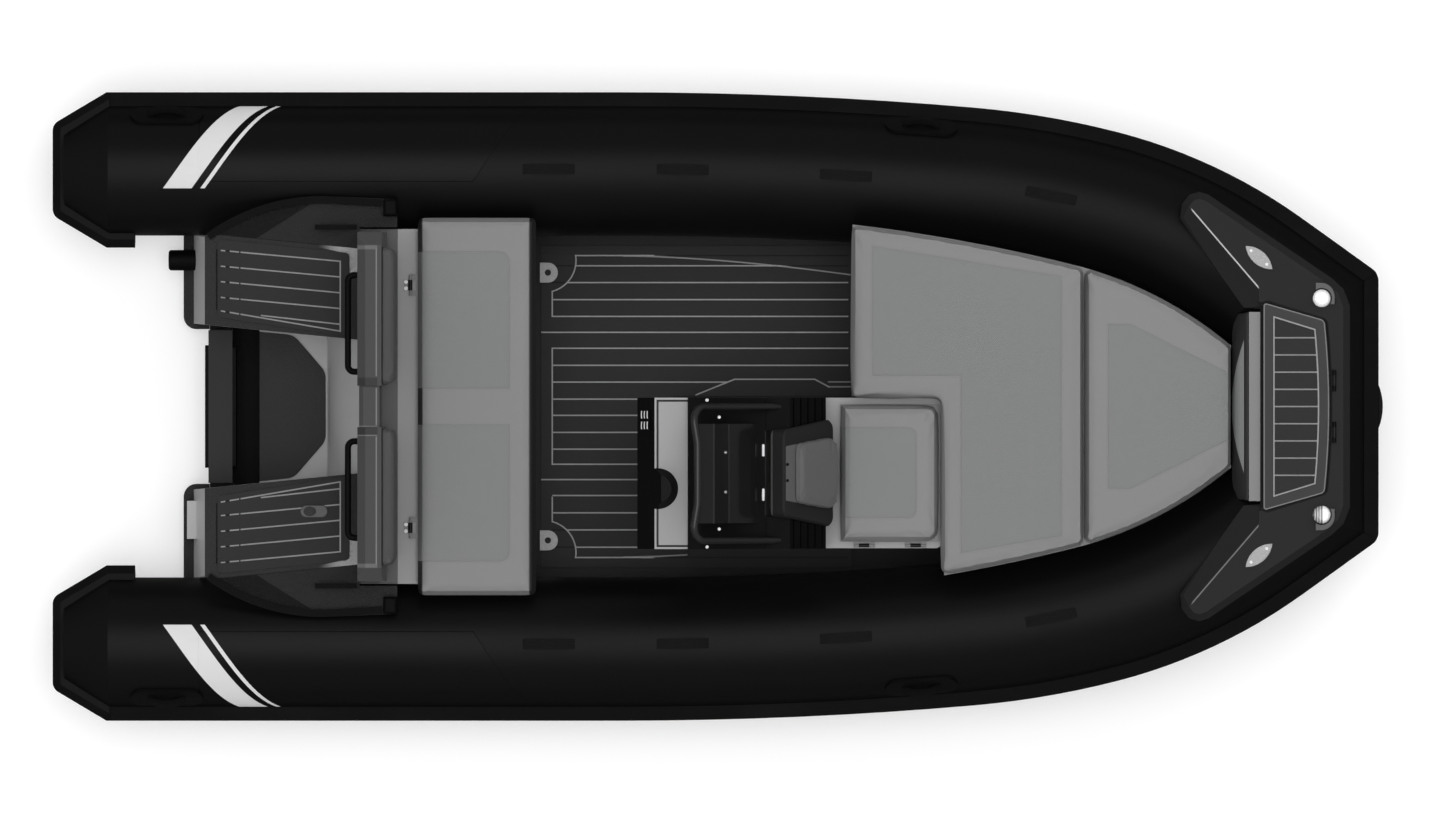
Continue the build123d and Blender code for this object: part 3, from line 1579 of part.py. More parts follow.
with BuildPart() as seat_cushion:
    with BuildSketch(Plane.XY.offset(seat_base_z + lid_gap + lid_thick + glue_gap)) as plan:
        with Locations((seat_rear_x, console_y)):
            Rectangle(
                seat_front_x - seat_rear_x, 2 * seat_half_width, align=(Align.MIN, Align.CENTER)
            )
        fillet(plan.vertices().group_by(Axis.X)[-1], seat_corner)
    extrude(amount=seat_thick)
    chamfer(seat_cushion.faces().sort_by(Axis.Z)[-1].edges(), cushion_corner / 3)
finish("seat_cushion", seat_cushion)

# Bow seating: a closed moulding with two cushions that lie round the console seat
with BuildPart() as bow_locker:
    with BuildSketch(Plane.XY.offset(deck_z)):
        add(bow_seat_outline(0))
        add(console_foot(edge_gap), mode=Mode.SUBTRACT)
        with Locations((locker_rear_x, -tube_spread)):
            Rectangle(
                seat_base_front_x + edge_gap - locker_rear_x,
                tube_spread + console_port_y,
                align=Align.MIN,
                mode=Mode.SUBTRACT,
            )
    extrude(amount=bow_seat_z - deck_z)
    for clear in (port_clear, starboard_clear, bow_clear):
        add(clear, mode=Mode.SUBTRACT)
    split(bisect_by=Plane.YZ.offset(locker_rear_x), keep=Keep.TOP)
    with BuildSketch(Plane.XY.offset(deck_z)):
        with Locations((locker_step_x, 0)):
            Rectangle(bow_axis_x, 4 * tube_spread, align=(Align.MIN, Align.CENTER))
    extrude(amount=locker_step_z - deck_z, mode=Mode.SUBTRACT)
finish("bow_locker", bow_locker)

with BuildPart() as bow_cushion_aft:
    with BuildSketch(Plane.XY.offset(bow_seat_z + glue_gap)):
        add(bow_seat_outline(0))
        with Locations((0, -2 * tube_spread)):
            Rectangle(
                seat_front_x + edge_gap,
                2 * tube_spread + bow_notch_y,
                align=Align.MIN,
                mode=Mode.SUBTRACT,
            )
    extrude(amount=bow_cushion_thick)
    split(bisect_by=Plane.YZ.offset(bow_seam_x - lid_gap), keep=Keep.BOTTOM)
    fillet(bow_cushion_aft.edges().filter_by(Axis.Z), bow_cushion_round)
finish("bow_cushion_aft", bow_cushion_aft)

with BuildPart() as bow_cushion_fore:
    with BuildSketch(Plane.XY.offset(bow_seat_z + glue_gap)):
        add(bow_seat_outline(0))
    extrude(amount=bow_cushion_thick)
    split(bisect_by=Plane.YZ.offset(bow_seam_x + lid_gap), keep=Keep.TOP)
    fillet(bow_cushion_fore.edges().filter_by(Axis.Z), bow_cushion_round)
finish("bow_cushion_fore", bow_cushion_fore)

# Bow deck moulding that straddles the tubes, with a shallow anchor locker
deck_tilt = radians(bow_deck_slope)
bow_plane = Plane(
    origin=(bow_deck_rear_x, 0, bow_deck_rear_z),
    x_dir=(cos(deck_tilt), 0, sin(deck_tilt)),
    z_dir=(-sin(deck_tilt), 0, cos(deck_tilt)),
)


def on_deck(x):
    """Distance along the sloping bow deck of a place x."""
    return (x - bow_deck_rear_x) / cos(deck_tilt)


def anchor_outline(margin, lift=0.0, plank_lines=0):
    """Lid outline in the bow deck's plane, grown by a margin and parted into planks."""
    with BuildSketch(bow_plane.offset(lift)) as outline:
        with BuildLine():
            front_x = on_deck(anchor_lid_front_x) - anchor_lid_bow
            Polyline(
                (front_x, anchor_lid_front_y),
                (on_deck(anchor_lid_rear_x), anchor_lid_rear_y),
                (on_deck(anchor_lid_rear_x), -anchor_lid_rear_y),
                (front_x, -anchor_lid_front_y),
            )
            ThreePointArc(
                (front_x, -anchor_lid_front_y),
                (front_x + anchor_lid_bow, 0),
                (front_x, anchor_lid_front_y),
            )
        make_face()
        fillet(outline.vertices(), anchor_rebate)
        offset(amount=margin)
        if plank_lines:
            with Locations((on_deck((anchor_lid_rear_x + anchor_lid_front_x) / 2), 0)):
                with GridLocations(1, anchor_plank_pitch, 1, plank_lines):
                    Rectangle(2 * anchor_lid_rear_y, mat_groove, mode=Mode.SUBTRACT)
    return outline.sketch


def crease_waste():
    """Waste above the panel that slopes inboard from the port crease."""
    (rear_behind, rear_y), (front_behind, front_y) = bow_crease
    rear = bow_plane.from_local_coords(Vector(on_deck(bow_deck_front_x - rear_behind), rear_y, 0))
    front = bow_plane.from_local_coords(Vector(on_deck(bow_deck_front_x - front_behind), front_y, 0))
    along = (front - rear).normalized()
    inboard = Vector(along.Y, -along.X, 0).normalized()
    drop = crease_reach * tan(radians(crease_slope))
    with BuildPart() as waste:
        with BuildSketch(Plane(origin=front, x_dir=inboard, z_dir=-along)):
            with BuildLine():
                Polyline(
                    (0, 0),
                    (crease_reach, -drop),
                    (crease_reach, crease_reach),
                    (0, crease_reach),
                    close=True,
                )
            make_face()
        extrude(amount=2 * crease_reach)
        extrude(waste.faces().sort_by(Axis.X)[-1], amount=crease_reach)
        split(bisect_by=Plane.YZ.offset(bow_deck_front_x - front_behind), keep=Keep.BOTTOM)
    return waste.part


with BuildPart() as bow_deck:
    with BuildSketch() as plan:
        with BuildLine():
            Polyline(*[(bow_deck_front_x - behind, y) for behind, y in bow_deck_outline], close=True)
        make_face()
        mirror(about=Plane.XZ)
    extrude(amount=2 * bow_deck_rear_z)
    split(bisect_by=bow_plane, keep=Keep.BOTTOM)
    chamfer(bow_deck.faces().sort_by(Axis.Z)[-1].edges(), bow_deck_bevel)
    add(crease_waste(), mode=Mode.SUBTRACT)
    add(mirrored(crease_waste()), mode=Mode.SUBTRACT)
    for clear in (port_clear, starboard_clear, bow_clear):
        add(clear, mode=Mode.SUBTRACT)
    split(bisect_by=Plane.XY.offset(bow_seat_z), keep=Keep.TOP)
    extrude(anchor_outline(edge_gap), amount=-anchor_lid_thick - lid_gap, mode=Mode.SUBTRACT)
    extrude(anchor_outline(-anchor_rebate), amount=-anchor_locker_depth, mode=Mode.SUBTRACT)
finish("bow_deck", bow_deck)

anchor_hinge_x = on_deck(anchor_lid_front_x) + barrel_radius * 2
anchor_hinge_lift = barrel_radius + lid_gap


def across_deck(x, y, lift):
    """Plane across the bow deck at a place along and above it."""
    centre = bow_plane.from_local_coords(Vector(x, y, lift))
    return Plane(origin=centre, x_dir=bow_plane.x_dir, z_dir=(0, 1, 0))


# Fixed leaves of all the lids' hinges
with BuildPart() as lid_hinges:
    for place in (-hinge_y, hinge_y):
        add(hinge_leaf(place))
    for station in seat_hinge_stations:
        add(seat_leaf(station))
    for place in (-anchor_hinge_y, anchor_hinge_y):
        across = across_deck(anchor_hinge_x, place, anchor_hinge_lift)
        with BuildSketch(across):
            Circle(barrel_radius)
        extrude(amount=barrel_length / 2, both=True)
        with BuildSketch(bow_plane):
            with Locations((anchor_hinge_x, place)):
                Rectangle(barrel_radius, barrel_length)
        extrude(amount=anchor_hinge_lift)
        with BuildSketch(across):
            Circle(pin_radius)
        extrude(amount=barrel_length, both=True)
finish("lid_hinges", lid_hinges)

with BuildPart() as anchor_lid:
    extrude(anchor_outline(0), amount=-anchor_lid_thick)
    for place in (-anchor_hinge_y, anchor_hinge_y):
        for shift in (-knuckle_shift, knuckle_shift):
            across = across_deck(anchor_hinge_x, place + shift, anchor_hinge_lift)
            with BuildSketch(across):
                Circle(barrel_radius)
            extrude(amount=barrel_length / 4, both=True)
            with BuildSketch(bow_plane.offset(lid_gap)):
                with Locations((anchor_hinge_x, place + shift)):
                    Rectangle(
                        4 * barrel_radius, barrel_length / 2, align=(Align.MAX, Align.CENTER)
                    )
            extrude(amount=leaf_thick)
            with BuildSketch(bow_plane):
                with Locations((anchor_hinge_x - 4 * barrel_radius, place + shift)):
                    Rectangle(barrel_radius, barrel_length / 2, align=(Align.MIN, Align.CENTER))
            extrude(amount=leaf_thick)
            with BuildSketch(across):
                Circle(pin_radius + pin_play)
            extrude(amount=barrel_length, both=True, mode=Mode.SUBTRACT)
finish("anchor_lid", anchor_lid)

with BuildPart() as anchor_mat_sheet:
    extrude(anchor_outline(-anchor_mat_border), amount=mat_sheet)
finish("anchor_mat_sheet", anchor_mat_sheet)

with BuildPart() as anchor_mat_planks:
    plank_border = anchor_mat_border + mat_groove
    extrude(anchor_outline(-plank_border, mat_sheet, anchor_plank_lines), amount=mat_sheet)
finish("anchor_mat_planks", anchor_mat_planks)

# Back of the bow seat: a sloping pad on an upright panel
# Columns: x, z of each corner
bow_pad_corners = (
    (bow_seat_front_x + lid_gap, bow_seat_z + glue_gap),
    (bow_back_top_x - bow_pad_top, bow_back_top_z),
    (bow_back_top_x, bow_back_top_z),
    (bow_back_top_x, bow_seat_z + glue_gap),
)
with BuildPart() as bow_backrest:
    with BuildSketch(Plane.XZ):
        with BuildLine():
            Polyline(*bow_pad_corners, close=True)
        make_face()
    extrude(amount=bow_back_half_width, both=True)
    for clear in (port_clear, starboard_clear, bow_clear):
        add(clear, mode=Mode.SUBTRACT)
finish("bow_backrest", bow_backrest)

with BuildPart() as bow_back_panel:
    with BuildSketch(Plane.XZ):
        with Locations((bow_back_top_x + glue_gap, bow_seat_z + glue_gap)):
            Rectangle(
                bow_deck_step_x - bow_back_top_x - 2 * glue_gap,
                bow_back_top_z - bow_seat_z,
                align=Align.MIN,
            )
    extrude(amount=bow_back_half_width, both=True)
    for clear in (port_clear, starboard_clear, bow_clear):
        add(clear, mode=Mode.SUBTRACT)
finish("bow_back_panel", bow_back_panel)

# Bow fittings: leaf-shaped cleats, navigation lamps and the shrouds round them
with BuildPart() as bow_cleats:
    with BuildSketch(bow_plane):
        with Locations(Location((on_deck(bow_cleat_x), bow_cleat_y, 0), (0, 0, -bow_cleat_turn))):
            half = bow_cleat_length / 2
            with BuildSketch(mode=Mode.PRIVATE) as leaf:
                with BuildLine():
                    ThreePointArc((-half, 0), (0, bow_cleat_width / 2), (half, 0))
                    ThreePointArc((half, 0), (0, -bow_cleat_width / 2), (-half, 0))
                make_face()
            add(leaf.sketch)
    extrude(amount=bow_cleat_thick)
    chamfer(bow_cleats.faces().sort_by(Axis.Z)[-1].edges(), bow_cleat_thick / 4)
    mirror(about=Plane.XZ)
finish("bow_cleats", bow_cleats)

with BuildPart() as nav_lights:
    with BuildSketch(bow_plane):
        with Locations((on_deck(lamp_x), lamp_y)):
            Circle(lamp_radius)
    extrude(amount=lamp_height)
    fillet(nav_lights.faces().sort_by(Axis.Z)[-1].edges(), lamp_height / 2)
    mirror(about=Plane.XZ)
finish("nav_lights", nav_lights)

with BuildPart() as lamp_shrouds:
    with BuildSketch(bow_plane) as plan:
        with Locations((on_deck(lamp_x) - lamp_base_reach, lamp_y - lamp_base_reach)):
            Rectangle(lamp_base_length, lamp_base_width, align=Align.MIN)
        fillet(plan.vertices().sort_by(Axis.X)[-2:].sort_by(Axis.Y)[-1], lamp_base_round)
        with Locations((on_deck(lamp_x), lamp_y)):
            Circle(lamp_radius + lamp_gap, mode=Mode.SUBTRACT)
    extrude(amount=lamp_base_height)
    mirror(about=Plane.XZ)
finish("lamp_shrouds", lamp_shrouds)

# Horn cleats on the platforms' hips
with BuildPart() as stern_cleats:
    with BuildSketch(Plane.XY.offset(platform_z)):
        with Locations((cleat_x, cleat_y)):
            with GridLocations(cleat_length / 3, 1, 2, 1):
                Circle(cleat_post)
    extrude(amount=cleat_height)
    with BuildSketch(Plane.XZ.offset(-cleat_y)):
        with BuildLine():
            Polyline(
                (cleat_x - cleat_length / 2, platform_z + cleat_height + cleat_post),
                (cleat_x - cleat_length / 4, platform_z + cleat_height),
                (cleat_x + cleat_length / 4, platform_z + cleat_height),
                (cleat_x + cleat_length / 2, platform_z + cleat_height + cleat_post),
                (cleat_x + cleat_length / 4, platform_z + cleat_height + 1.5 * cleat_post),
                (cleat_x - cleat_length / 4, platform_z + cleat_height + 1.5 * cleat_post),
                close=True,
            )
        make_face()
    extrude(amount=cleat_post, both=True)
    mirror(about=Plane.XZ)
finish("stern_cleats", stern_cleats)

# Towing eyes: one at the stem and two on the transom
# Columns: x, y, z of the plate's middle, degrees from the waterline
eye_table = (
    (bow_eye_x, 0.0, bow_eye_z, bow_eye_slope),
    (transom_x - transom_thick, -stern_eye_y, stern_eye_z, 0.0),
    (transom_x - transom_thick, stern_eye_y, stern_eye_z, 0.0),
)
with BuildPart() as towing_eyes:
    for eye_x, eye_y, eye_z, slope in eye_table:
        along = (cos(radians(slope)), 0, sin(radians(slope)))
        with BuildSketch(Plane(origin=(eye_x, eye_y, eye_z), x_dir=along, z_dir=(0, -1, 0))):
            SlotOverall(eye_reach * 2, 2 * eye_radius)
            with Locations((eye_radius - eye_reach, 0), (eye_reach - eye_radius, 0)):
                Circle(eye_bore, mode=Mode.SUBTRACT)
        extrude(amount=eye_thick / 2, both=True)
    add(transom.part, mode=Mode.SUBTRACT)
    add(hull.part, mode=Mode.SUBTRACT)
finish("towing_eyes", towing_eyes)
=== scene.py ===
import math
import bpy
from mathutils import Matrix, Vector


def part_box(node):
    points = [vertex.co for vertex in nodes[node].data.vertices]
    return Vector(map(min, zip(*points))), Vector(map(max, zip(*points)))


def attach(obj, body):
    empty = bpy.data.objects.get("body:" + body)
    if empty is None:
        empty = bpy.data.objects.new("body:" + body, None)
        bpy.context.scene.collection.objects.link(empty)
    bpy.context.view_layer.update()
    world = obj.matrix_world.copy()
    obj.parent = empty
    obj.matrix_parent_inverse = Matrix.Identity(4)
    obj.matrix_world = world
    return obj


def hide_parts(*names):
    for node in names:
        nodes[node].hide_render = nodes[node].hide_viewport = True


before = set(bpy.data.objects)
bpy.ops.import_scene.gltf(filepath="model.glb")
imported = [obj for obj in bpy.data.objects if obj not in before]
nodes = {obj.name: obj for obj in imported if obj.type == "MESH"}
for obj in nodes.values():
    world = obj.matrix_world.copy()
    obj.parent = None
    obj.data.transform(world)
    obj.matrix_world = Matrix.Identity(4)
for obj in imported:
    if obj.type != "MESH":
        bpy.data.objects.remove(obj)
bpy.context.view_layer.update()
scene = bpy.context.scene
scene.view_settings.view_transform = "Standard"


# Camera, looking straight down on the boat as it floats
camera_data = bpy.data.cameras.new("plan_camera")
camera_data.lens = 400.0
camera_data.sensor_width = 36.0
camera_data.clip_end = 300.0
camera = bpy.data.objects.new("plan_camera", camera_data)
view_centre = 0.01575
view_width = 5.0575
view_level = 0.35
view_distance = view_width * camera_data.lens / camera_data.sensor_width
camera.location = (view_centre, 0.0, view_level + view_distance)
scene.collection.objects.link(camera)
scene.camera = camera


class Tone:
    """A value on its way through a finish. Arithmetic on it adds Math nodes."""

    def __init__(self, finish, socket):
        self.finish = finish
        self.socket = socket

    def work(self, operation, first, second=0.0):
        return self.finish.node("ShaderNodeMath", {"operation": operation}, {0: first, 1: second})

    def __add__(self, other):
        return self.work("ADD", self, other)

    def __radd__(self, other):
        return self.work("ADD", other, self)

    def __sub__(self, other):
        return self.work("SUBTRACT", self, other)

    def __rsub__(self, other):
        return self.work("SUBTRACT", other, self)

    def __mul__(self, other):
        return self.work("MULTIPLY", self, other)

    def __rmul__(self, other):
        return self.work("MULTIPLY", other, self)

    def __truediv__(self, other):
        return self.work("DIVIDE", self, other)

    def __rtruediv__(self, other):
        return self.work("DIVIDE", other, self)

    def __pow__(self, other):
        return self.work("POWER", self, other)

    def __mod__(self, other):
        return self.work("FLOORED_MODULO", self, other)

    def __abs__(self):
        return self.work("ABSOLUTE", self)

    def __gt__(self, other):
        return self.work("GREATER_THAN", self, other)

    def __lt__(self, other):
        return self.work("LESS_THAN", self, other)

    def least(self, other):
        return self.work("MINIMUM", self, other)

    def most(self, other):
        return self.work("MAXIMUM", self, other)

    def wave(self):
        return self.work("SINE", self)

    def turn(self, other):
        return self.work("ARCTAN2", self, other)

    def fade(self, low, high):
        """Smooth step from 0 at low to 1 at high."""
        return self.finish.node(
            "ShaderNodeMapRange",
            {"interpolation_type": "SMOOTHSTEP"},
            {"Value": self, "From Min": low, "From Max": high},
        )

    def below(self, low, high):
        """Smooth step from 1 at low to 0 at high."""
        return 1 - self.fade(low, high)

    def line(self, half, fringe):
        """1 within half of zero on both sides, 0 from the fringe on."""
        return abs(self).below(half, fringe)


class Finish:
    """A material in the making, on Object coordinates."""

    def __init__(self, name, **fixed):
        self.material = bpy.data.materials.new(name)
        self.material.use_nodes = True
        self.tree = self.material.node_tree
        self.shader = self.tree.nodes["Principled BSDF"]
        for socket, value in fixed.items():
            self.shader.inputs[socket.replace("_", " ")].default_value = value
        self.spot = self.node("ShaderNodeTexCoord", out="Object")
        apart = self.node("ShaderNodeSeparateXYZ", inputs={0: self.spot})
        split = apart.socket.node
        self.x, self.y, self.z = (Tone(self, split.outputs[axis]) for axis in range(3))

    def node(self, kind, settings=None, inputs=None, out=0):
        """A new node with its settings and the values or links of its sockets."""
        made = self.tree.nodes.new(kind)
        for key, value in (settings or {}).items():
            setattr(made, key, value)
        for key, value in (inputs or {}).items():
            self.feed(made.inputs[key], value)
        return Tone(self, made.outputs[out])

    def feed(self, socket, value):
        if isinstance(value, Tone):
            self.tree.links.new(value.socket, socket)
        else:
            socket.default_value = value

    def set(self, **wired):
        """Feed sockets of the surface shader."""
        for socket, value in wired.items():
            self.feed(self.shader.inputs[socket.replace("_", " ")], value)

    def grain(self, scale, detail=2.0, stretch=None):
        """Noise value on the piece, at a scale for each metre."""
        spot = self.spot
        if stretch:
            spot = self.node(
                "ShaderNodeVectorMath", {"operation": "MULTIPLY"}, {0: spot, 1: stretch}
            )
        return self.node(
            "ShaderNodeTexNoise", None, {"Vector": spot, "Scale": scale, "Detail": detail}
        )

    def cells(self, scale, feature="F1"):
        """Distance in a cell pattern, as in pressed leather grain."""
        return self.node(
            "ShaderNodeTexVoronoi", {"feature": feature}, {"Vector": self.spot, "Scale": scale}
        )

    def mix(self, share, first, second):
        """Colour between two colours."""
        return self.node(
            "ShaderNodeMix", {"data_type": "RGBA"}, {0: share, 6: first, 7: second}, out=2
        )

    def relief(self, height, depth, strength=1.0):
        """Surface relief of a height value times a depth in metres."""
        normal = self.node(
            "ShaderNodeBump", None, {"Height": height, "Distance": depth, "Strength": strength}
        )
        self.set(Normal=normal)

    def panel(self, centre, half, corner):
        """Distance from the edge of a rounded panel in plan, below zero inside it."""
        along = abs(self.x - centre[0]) - half[0]
        across = abs(self.y - centre[1]) - half[1]
        return rounded(along, across, corner)


def rounded(first, second, corner):
    """Distance from two edges that meet in a rounded corner, below zero inside them."""
    first, second = first + corner, second + corner
    outside = (first.most(0.0) ** 2 + second.most(0.0) ** 2) ** 0.5
    return outside + first.most(second).least(0.0) - corner


def tilted(x, z, foot, lean):
    """Distances from a foot along a leaning direction in the x-z plane, and square to it."""
    ahead, above = x - foot[0], z - foot[1]
    return ahead * lean[0] + above * lean[1], above * lean[0] - ahead * lean[1]


def grey(value, tint=0.0):
    """Colour from a brightness of 0 to 255, a little greener with tint."""
    linear = ((value / 255 + 0.055) / 1.055) ** 2.4
    return (linear * (1 - tint), linear, linear * (1 - tint / 2), 1.0)


# Places that finishes share, in metres
SHARP = (-0.001, 0.001)  # fade across a crisp edge
GROOVE = (0.0018, 0.0032)  # half width of a mat's groove, and its fringe
MAT_LEVEL = (0.1, 0.11)  # between the cockpit's mat and the platforms' mats
SIDES = (-0.01, 0.01)  # fade between starboard and port
SEAT_BACK_FOOT = (0.404, 0.582)  # lower end of the seat back's front, x and z
SEAT_BACK_OUT = (0.848, 0.53)  # direction out of that front
DASH_TOP = (-0.25, 0.83)  # upper end of the dash's slope, x and z
DASH_SLOPE = (0.7682, 0.6402)  # direction up the slope


# Tubes: coated fabric with a slanted pale band, a pinstripe and a bonded panel on each quarter
def tube_skin():
    """Black coated fabric. Angles run round a tube from its outboard side up to the crown."""
    tube_line, tube_level, tube_radius = 0.829, 0.265, 0.23
    band_place, band_lean, band_foot = -1.615, 0.163, 0.192
    panel_aft, panel_fore, panel_lean = -1.813, -0.623, 0.1474
    panel_low, panel_high = 0.012, 0.4046
    weave = 2600
    skin = Finish("tube_skin", Specular_IOR_Level=0.09)
    around = (skin.z - tube_level).turn(abs(skin.y) - tube_line)
    slant = skin.x - band_place + (around - band_foot) * band_lean
    reach = around.fade(0.185, 0.195) * around.below(1.862, 1.872) * skin.x.below(-1.0, -0.99)
    band = slant.line(0.049, 0.051) * reach
    pin = (slant - 0.088).line(0.0075, 0.0085) * reach
    marks = band.most(pin)
    arc = around * tube_radius
    fore_edge = skin.x - panel_fore + (around - band_foot) * panel_lean
    patch = (panel_aft - skin.x).most(fore_edge).most(arc - panel_high).most(panel_low - arc)
    raised = patch.below(-0.0012, 0.0012)
    seam = patch.line(0.0008, 0.0035)
    wear_and_highlight = skin.grain(2.2, 3.0)
    cloth = (skin.x * weave).wave() * (skin.y * weave + skin.z * weave).wave()
    black = skin.mix(wear_and_highlight, grey(7), grey(11))
    black = skin.mix(seam * 0.8, black, grey(2))
    pale = skin.mix(wear_and_highlight, grey(208), grey(218))
    skin.set(Base_Color=skin.mix(marks, black, pale))
    skin.set(Roughness=0.3 + wear_and_highlight * 0.1 - raised * 0.05 + marks * 0.15)
    skin.relief(raised * 0.7 + cloth * 0.06 + skin.grain(260) * 0.12 + marks * 0.25, 0.0012)
    return skin.material


def cone_skin():
    """Moulded rubber of the stern cones."""
    skin = Finish("cone_skin", Specular_IOR_Level=0.1)
    wear_and_highlight = skin.grain(3.0, 3.0)
    skin.set(Base_Color=skin.mix(wear_and_highlight, grey(7), grey(11)))
    skin.set(Roughness=0.42 + wear_and_highlight * 0.15)
    skin.relief(skin.grain(220) * 0.3 + wear_and_highlight * 0.3, 0.0008)
    return skin.material


def strake_rubber():
    """Extruded rubber with scuffs along it."""
    rubber = Finish("strake_rubber", Specular_IOR_Level=0.1)
    scuff = rubber.grain(9.0, 4.0, (0.35, 1.0, 1.0))
    rubber.set(Base_Color=rubber.mix(scuff.fade(0.45, 0.75), grey(7), grey(13)))
    rubber.set(Roughness=0.46 + scuff * 0.2)
    rubber.relief(rubber.grain(400) * 0.5 + scuff * 0.4, 0.0007)
    return rubber.material


def webbing_weave():
    """Woven straps with ribs along them."""
    thread, rib = 1900, 900
    weave = Finish("webbing_weave", Specular_IOR_Level=0.2)
    threads = (weave.x * thread).wave() * (weave.y * thread).wave()
    ribs = (weave.y * rib).wave()
    weave.set(Base_Color=weave.mix(threads * 0.5 + 0.5, grey(8), grey(20)))
    weave.set(Roughness=0.75 + weave.grain(60) * 0.15)
    weave.relief(threads * 0.6 + ribs * 0.4, 0.0009)
    return weave.material


def hull_plate():
    """Bare brushed plate outside, dark deck paint on the upper side."""
    plate = Finish("hull_plate", Specular_IOR_Level=0.2)
    brushed = plate.grain(70.0, 3.0, (0.05, 1.0, 1.0))
    stain = plate.grain(2.5, 3.0)
    inside = plate.z.fade(0.05, 0.053) * plate.y.line(0.6, 0.61)
    bare = plate.mix(stain, grey(118), grey(146))
    paint = plate.mix(stain, grey(28), grey(34))
    plate.set(Base_Color=plate.mix(inside, bare, paint))
    plate.set(Metallic=1 - inside)
    plate.set(Roughness=0.36 + brushed * 0.14 + stain * 0.1 + inside * 0.2)
    plate.relief(brushed, 0.0004)
    return plate.material


def painted(name, value, rough, speck, gloss=0.12):
    """Sprayed paint with fine specks."""
    coat = Finish(name, Specular_IOR_Level=gloss)
    cloud = coat.grain(5.0, 3.0)
    coat.set(Base_Color=coat.mix(cloud, grey(value - 3), grey(value + 3)))
    coat.set(Roughness=rough + cloud * 0.12)
    coat.relief(coat.grain(speck), 0.0005)
    return coat.material


def gelcoat(name, value, rough, coat_weight, gloss=0.12, lines=None, pale_value=None):
    """Glossy moulding with faint orange peel and handling marks.

    The lines give the shares of a pale line and of a dark line at each place. Most pale lines are
    painted highlights, and the dark strip by the backrest is partly painted shade.
    """
    coat = Finish(name, Coat_Weight=coat_weight, Coat_Roughness=0.12, Specular_IOR_Level=gloss)
    cloud = coat.grain(1.7, 4.0)
    marks = coat.grain(24.0, 5.0, (0.3, 1.0, 1.0)).fade(0.62, 0.78)
    colour = coat.mix(cloud, grey(value * 0.96), grey(value * 1.04))
    height = coat.grain(85.0) * 0.6 + cloud * 0.3
    if lines:
        pale, dark = lines(coat)
        colour = coat.mix(pale, colour, grey(pale_value or value * 0.6 + 80))
        colour = coat.mix(dark, colour, grey(value * 0.16))
        height = height - dark * 3
    coat.set(Base_Color=colour)
    coat.set(Roughness=rough + cloud * 0.08 + marks * 0.12)
    coat.relief(height, 0.0004)
    return coat.material


def console_rim(coat):
    """Pale rim and dark joint round the flat top behind the hood."""
    aft, port, starboard = -0.22, 0.0305, -0.4945
    inset = (coat.x - aft).least(port - coat.y).least(coat.y - starboard)
    flat = coat.z.fade(0.85, 0.853)
    pale = (inset - 0.004).line(0.0014, 0.0022) * flat
    dark = (inset - 0.0105).line(0.003, 0.004) * flat
    return pale * 0.5, dark


def lid_rim(coat):
    """Pale line inside the edge of the anchor lid, dark past it."""
    aft, fore, half_width, corner = 1.893, 2.131, 0.369, 0.018
    front = coat.x - fore + coat.y * coat.y * 0.178
    side = (abs(coat.y) - half_width + (coat.x - aft) * 0.29) * 0.96
    inset = rounded(aft - coat.x, side, corner).most(rounded(front, side, corner))
    pale = (inset + 0.0075).line(0.0016, 0.0026)
    return pale, inset.fade(-0.0055, -0.0045)


def back_edge(coat):
    """Painted highlight along the upper edge of the seat back, and a panel with two eyelets above
    its pad.
    """
    edge = (coat.x - 0.187).line(0.0015, 0.003) * coat.z.fade(0.8, 0.81)
    out, climb = tilted(coat.x, coat.z, SEAT_BACK_FOOT, SEAT_BACK_OUT)
    panel = (abs(coat.y + 0.232) - 0.128 + climb * 0.107).most(climb - 0.318)
    panel = panel.below(*SHARP) * out.fade(-0.005, -0.004) * climb.fade(0.22, 0.222)
    eye = ((coat.x - 0.2415) ** 2 + (abs(coat.y + 0.229) - 0.028) ** 2) ** 0.5
    return (edge * 0.5).most(panel * 0.78), eye.below(0.0045, 0.006) * panel


def bench_back_edge(coat):
    """Painted highlights along the top of the bench's backrest and across it beside the middle
    part.
    """
    wear_and_highlight = (0.0012, 0.003)
    side = abs(coat.y)
    long_part = side.fade(0.104, 0.106) * side.below(0.548, 0.55)
    middle = side.below(0.064, 0.066)
    front = (coat.x + 1.1865).line(*wear_and_highlight) * long_part.most(middle)
    across = (side - 0.553).line(0.004, 0.01)
    cross = (abs(coat.y + 0.0845) - 0.0155).line(*wear_and_highlight)
    joint = (side - 0.085).line(0.012, 0.018)
    top = coat.z.fade(0.74, 0.75) * coat.x.below(-1.184, -1.182)
    return front.most(across * 0.5).most(cross * 0.8) * top, joint * top * 0.4


def ledge_strip(coat):
    """Dark strip along the foot of the backrest: partly the backrest's dark body, partly painted
    shade under it.
    """
    dark = coat.x.below(-1.12, -1.119) * coat.z.fade(0.4, 0.41)
    return 0.0, dark * 0.72


def well_edge(coat):
    """Painted highlight along the edge of the motor well just ahead of its floor mat."""
    pale = (coat.x + 1.3695).line(0.0014, 0.0028) * coat.y.line(0.116, 0.118)
    return pale * 0.8, 0.0


def deck_crease(coat):
    """Painted highlight along the bow deck's two creases, brighter on the port side where the light
    falls.
    """
    off = (abs(coat.y) - 0.413 + (coat.x - 1.882) * 1.1737) * 0.6486
    reach = coat.x.fade(1.645, 1.655) * coat.x.below(1.878, 1.884)
    pale = off.line(0.0014, 0.0032) * reach
    return pale * (0.3 + coat.y.fade(-0.1, 0.1) * 0.7), 0.0


